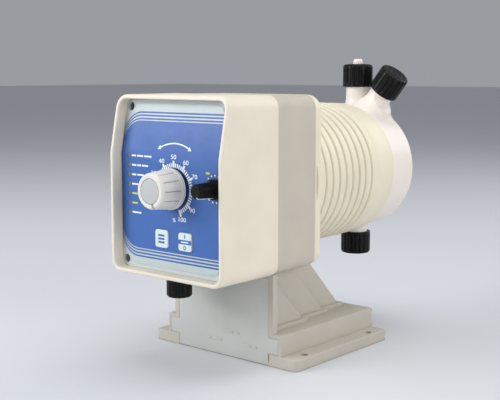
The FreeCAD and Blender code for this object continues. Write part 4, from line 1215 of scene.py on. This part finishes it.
def arc_band(x, z, radius, width, start, end, steps=24):
    clocks = [start + (end - start) * k / steps for k in range(steps + 1)]
    outer = [clock_point(x, z, radius + width / 2, clock) for clock in clocks]
    inner = [clock_point(x, z, radius - width / 2, clock) for clock in clocks]
    return outer + inner[::-1]


def panel_holes():
    holes = [circle(DIAL.x, AXIS_Z, 6.3), circle(SELECTOR.x, SELECTOR.z, 4.9)]
    for name in ("menu_key", "power_key"):
        x, z = key_centre(name)
        holes.append(rounded_rect(x - 6.45, x + 6.45, z - 6.55, z + 6.55, 2.1, 5, 1))
    holes += [circle(x, z, 1.45, 20) for x, z in led_places()]
    return holes


def key_centre(name):
    key = Node(name)
    return key.x, key.z


def led_places():
    leds = Node("indicator_leds")
    top, bottom = leds.z1 - 1.9, leds.z0 + 1.9
    return [(leds.x, top + (bottom - top) * k / 6) for k in range(7)]


def build_print():
    low, high = 83.2, 173.0
    blue = [[frame_outline(low, high), *panel_holes()]]
    for gap in (1.95, 4.2, 6.4):
        blue += [[band] for band in frame_lines(low - gap, high + gap, 1.15)]
    printed("print_blue", blue, BLUE_INK, 0.05)
    printed("print_white", white_marks(), WHITE_INK, 0.09)
    printed("print_yellow", yellow_marks(), YELLOW_INK, 0.09)


def frame_lines(low, high, width):
    """The two bands, above and below, between outlines that share their sides."""
    outer, inner = frame_outline(low, high), frame_outline(low + width, high - width)
    middle = (low + high) / 2
    return [sorted_arc(outer, middle, sign) + sorted_arc(inner, middle, sign)[::-1] for sign in (1, -1)]


def sorted_arc(outline, middle, sign):
    """Points of one half of an outline, from right to left."""
    half = [p for p in outline if (p[1] - middle) * sign > 20.0]
    return sorted(half, key=lambda p: (-p[0], p[1] * sign if p[0] > 0 else -p[1] * sign))


SCALE_START, SCALE_SPAN = -160.0, 320.0   # degrees clockwise from the top, for 0 and for 100


def white_marks():
    """Dial scale, the arrow over it, and bars and dots in place of captions."""
    shapes = []
    cx, cz = DIAL.x + 0.2, AXIS_Z - 0.4
    for step in range(2, 51):
        far, width = (19.4, 1.7) if step % 5 == 0 else (17.7, 1.1)
        shapes.append([radial_bar(cx, cz, 14.8, far, SCALE_START + SCALE_SPAN / 50 * step, width)])
    for k in range(1, 11):
        x, z = clock_point(cx, cz, 21.8, SCALE_START + SCALE_SPAN / 10 * k)
        shapes += lettering(str(10 * k), x, z, 4.3, 1.25)
    shapes += lettering("%", cx, cz - 21.4, 3.6, 1.1)
    shapes.append([arc_band(cx, cz, 31.0, 0.9, -26, 26)])
    for sign in (-1, 1):
        shapes.append([[clock_point(cx, cz, radius, sign * clock)
                        for radius, clock in ((31.0, 31), (32.6, 25.5), (29.4, 25.5))]])
    for (x, z), lengths in zip(led_places(), LABELS):
        shapes += label(x + 3.0, z, lengths)
    for clock in (-42, -21, 0, 21, 42, 125, 150, 172, 194, 216):
        shapes.append([circle(*clock_point(SELECTOR.x, SELECTOR.z, 9.0, clock), 0.6, 14)])
    return shapes


# Lengths of the white bars beside each light.
LABELS = ((4.4, 6.2, 7.4), (4.4, 4.0, 6.0), (4.4, 6.5), (6.4, 4.0), (), (), (9.0,))


def label(x, z, lengths):
    """Bars in place of a line of small print."""
    shapes = []
    for length in lengths:
        shapes.append([bar(x, x + length, z - 0.6, z + 0.6)])
        x += length + 1.0
    return shapes


def yellow_marks():
    """Bars beside two of the lights and over the selector."""
    places, shapes = led_places(), []
    for row, length in ((4, 6.8), (5, 5.6)):
        x, z = places[row]
        shapes += label(x + 3.0, z, (length,))
    for clock in (-62 / 1.9, 62 / 1.9):
        x, z = clock_point(SELECTOR.x, SELECTOR.z, 12.0, clock)
        shapes.append([bar(x - 1.7, x + 1.7, z - 0.7, z + 0.7)])
    return shapes


def key_print(key, name, outlines, material, lift=0.0):
    """Ink on a key, riding with it."""
    face = Node(key).y0 - lift
    printed(f"{key}_{name}", [[outline] for outline in outlines], material, 0.03, lambda z: face, key,
            "key_plastic")


def build_key_prints():
    """Generic symbols: three bars on one key; a stroke, a ring and a dashed band on the other."""
    x, z = key_centre("menu_key")
    rows = [bar(x - 3.0, x + 3.0, z + dz - 0.7, z + dz + 0.7) for dz in (-2.4, 0, 2.4)]
    key_print("menu_key", "sign", rows, BLUE_INK)
    x, z = key_centre("power_key")
    states = [bar(x - 0.45, x + 0.45, z + 2.6, z + 5.2), arc_band(x, z - 3.9, 1.15, 0.6, 0, 359.9)]
    key_print("power_key", "sign", [bar(x - 6.0, x + 6.0, z - 1.5, z + 1.5)], BLUE_INK)
    key_print("power_key", "states", states, GREY_INK)
    key_print("power_key", "dash", [bar(x - 3.4, x + 3.4, z - 0.4, z + 0.4)], WHITE_INK, 0.03)


# the blue ink gets a painted shadow of the rim near the recess walls
BLUE_INK = ink("ink_blue", srgb(60, 102, 173), shade_reach=16.0)
WHITE_INK = ink("ink_white", srgb(236, 242, 248))
YELLOW_INK = ink("ink_yellow", srgb(196, 214, 60))
GREY_INK = ink("ink_grey", srgb(92, 104, 124))


# ---- stage ---------------------------------------------------------------------------------------
def build_stage():
    """Pale floor."""
    shader = Shader("floor_pale", 0.6, specular=0.2)
    colour = srgb(212, 214, 219)
    shader.colour(shader.clouded(shader.noise(400.0, 2.0), darker(colour, 0.99), colour))
    size = 12.0
    corners = [(-size, -size, 0), (size, -size, 0), (size, size, 0), (-size, size, 0)]
    mesh = bpy.data.meshes.new("floor")
    mesh.from_pydata(corners, [], [(0, 1, 2, 3)])
    mesh.materials.append(shader.material)
    placed("floor", mesh)


def area_light(name, place, target, size, power, colour=(1.0, 1.0, 1.0)):
    data = bpy.data.lights.new(name, "AREA")
    data.shape = "RECTANGLE"
    data.size, data.size_y = size
    data.energy = power
    data.color = colour
    light = placed(name, data)
    light.location = place
    light.rotation_euler = (Vector(target) - Vector(place)).to_track_quat("-Z", "Y").to_euler()


def build_lights():
    middle = (0.0, 0.0, 0.12)
    area_light("key_left", (-0.90, -1.28, 0.75), middle, (1.2, 0.8), 20.0, (0.97, 0.99, 1.0))
    area_light("fill_right", (1.6, -0.25, 0.5), middle, (1.0, 1.0), 10.8, (1.0, 0.975, 0.94))
    area_light("top_soft", (0.1, 0.1, 1.4), middle, (1.0, 1.0), 9.0)
    area_light("back_rim", (0.5, 1.4, 0.8), middle, (0.9, 0.7), 4.0, (0.96, 0.98, 1.0))
    world = bpy.data.worlds.new("studio")
    bpy.context.scene.world = world
    world.use_nodes = True
    background = world.node_tree.nodes["Background"]
    background.inputs["Color"].default_value = (0.80, 0.83, 0.88, 1.0)
    background.inputs["Strength"].default_value = 0.40


def build_camera():
    data = bpy.data.cameras.new("camera")
    data.lens, data.sensor_width = 70.72, 36.0
    camera = placed("camera", data)
    camera.location = (0.47397, -0.57729, 0.2066)
    azimuth, elevation = math.radians(40.67), math.radians(7.42)
    ahead = Vector((-math.sin(azimuth) * math.cos(elevation), math.cos(azimuth) * math.cos(elevation),
                    -math.sin(elevation)))
    camera.rotation_euler = ahead.to_track_quat("-Z", "Y").to_euler()
    bpy.context.scene.camera = camera
    bpy.context.scene.view_settings.view_transform = "Standard"


for build in (build_foot, build_cover, build_middle, build_motor_housing, build_head, build_nuts,
              build_bleed_knob, build_gland_cap, build_nipples, build_dial, build_selector, build_keys,
              build_springs, build_diaphragm, build_print, build_key_prints, build_stage, build_lights,
              build_camera):
    build()
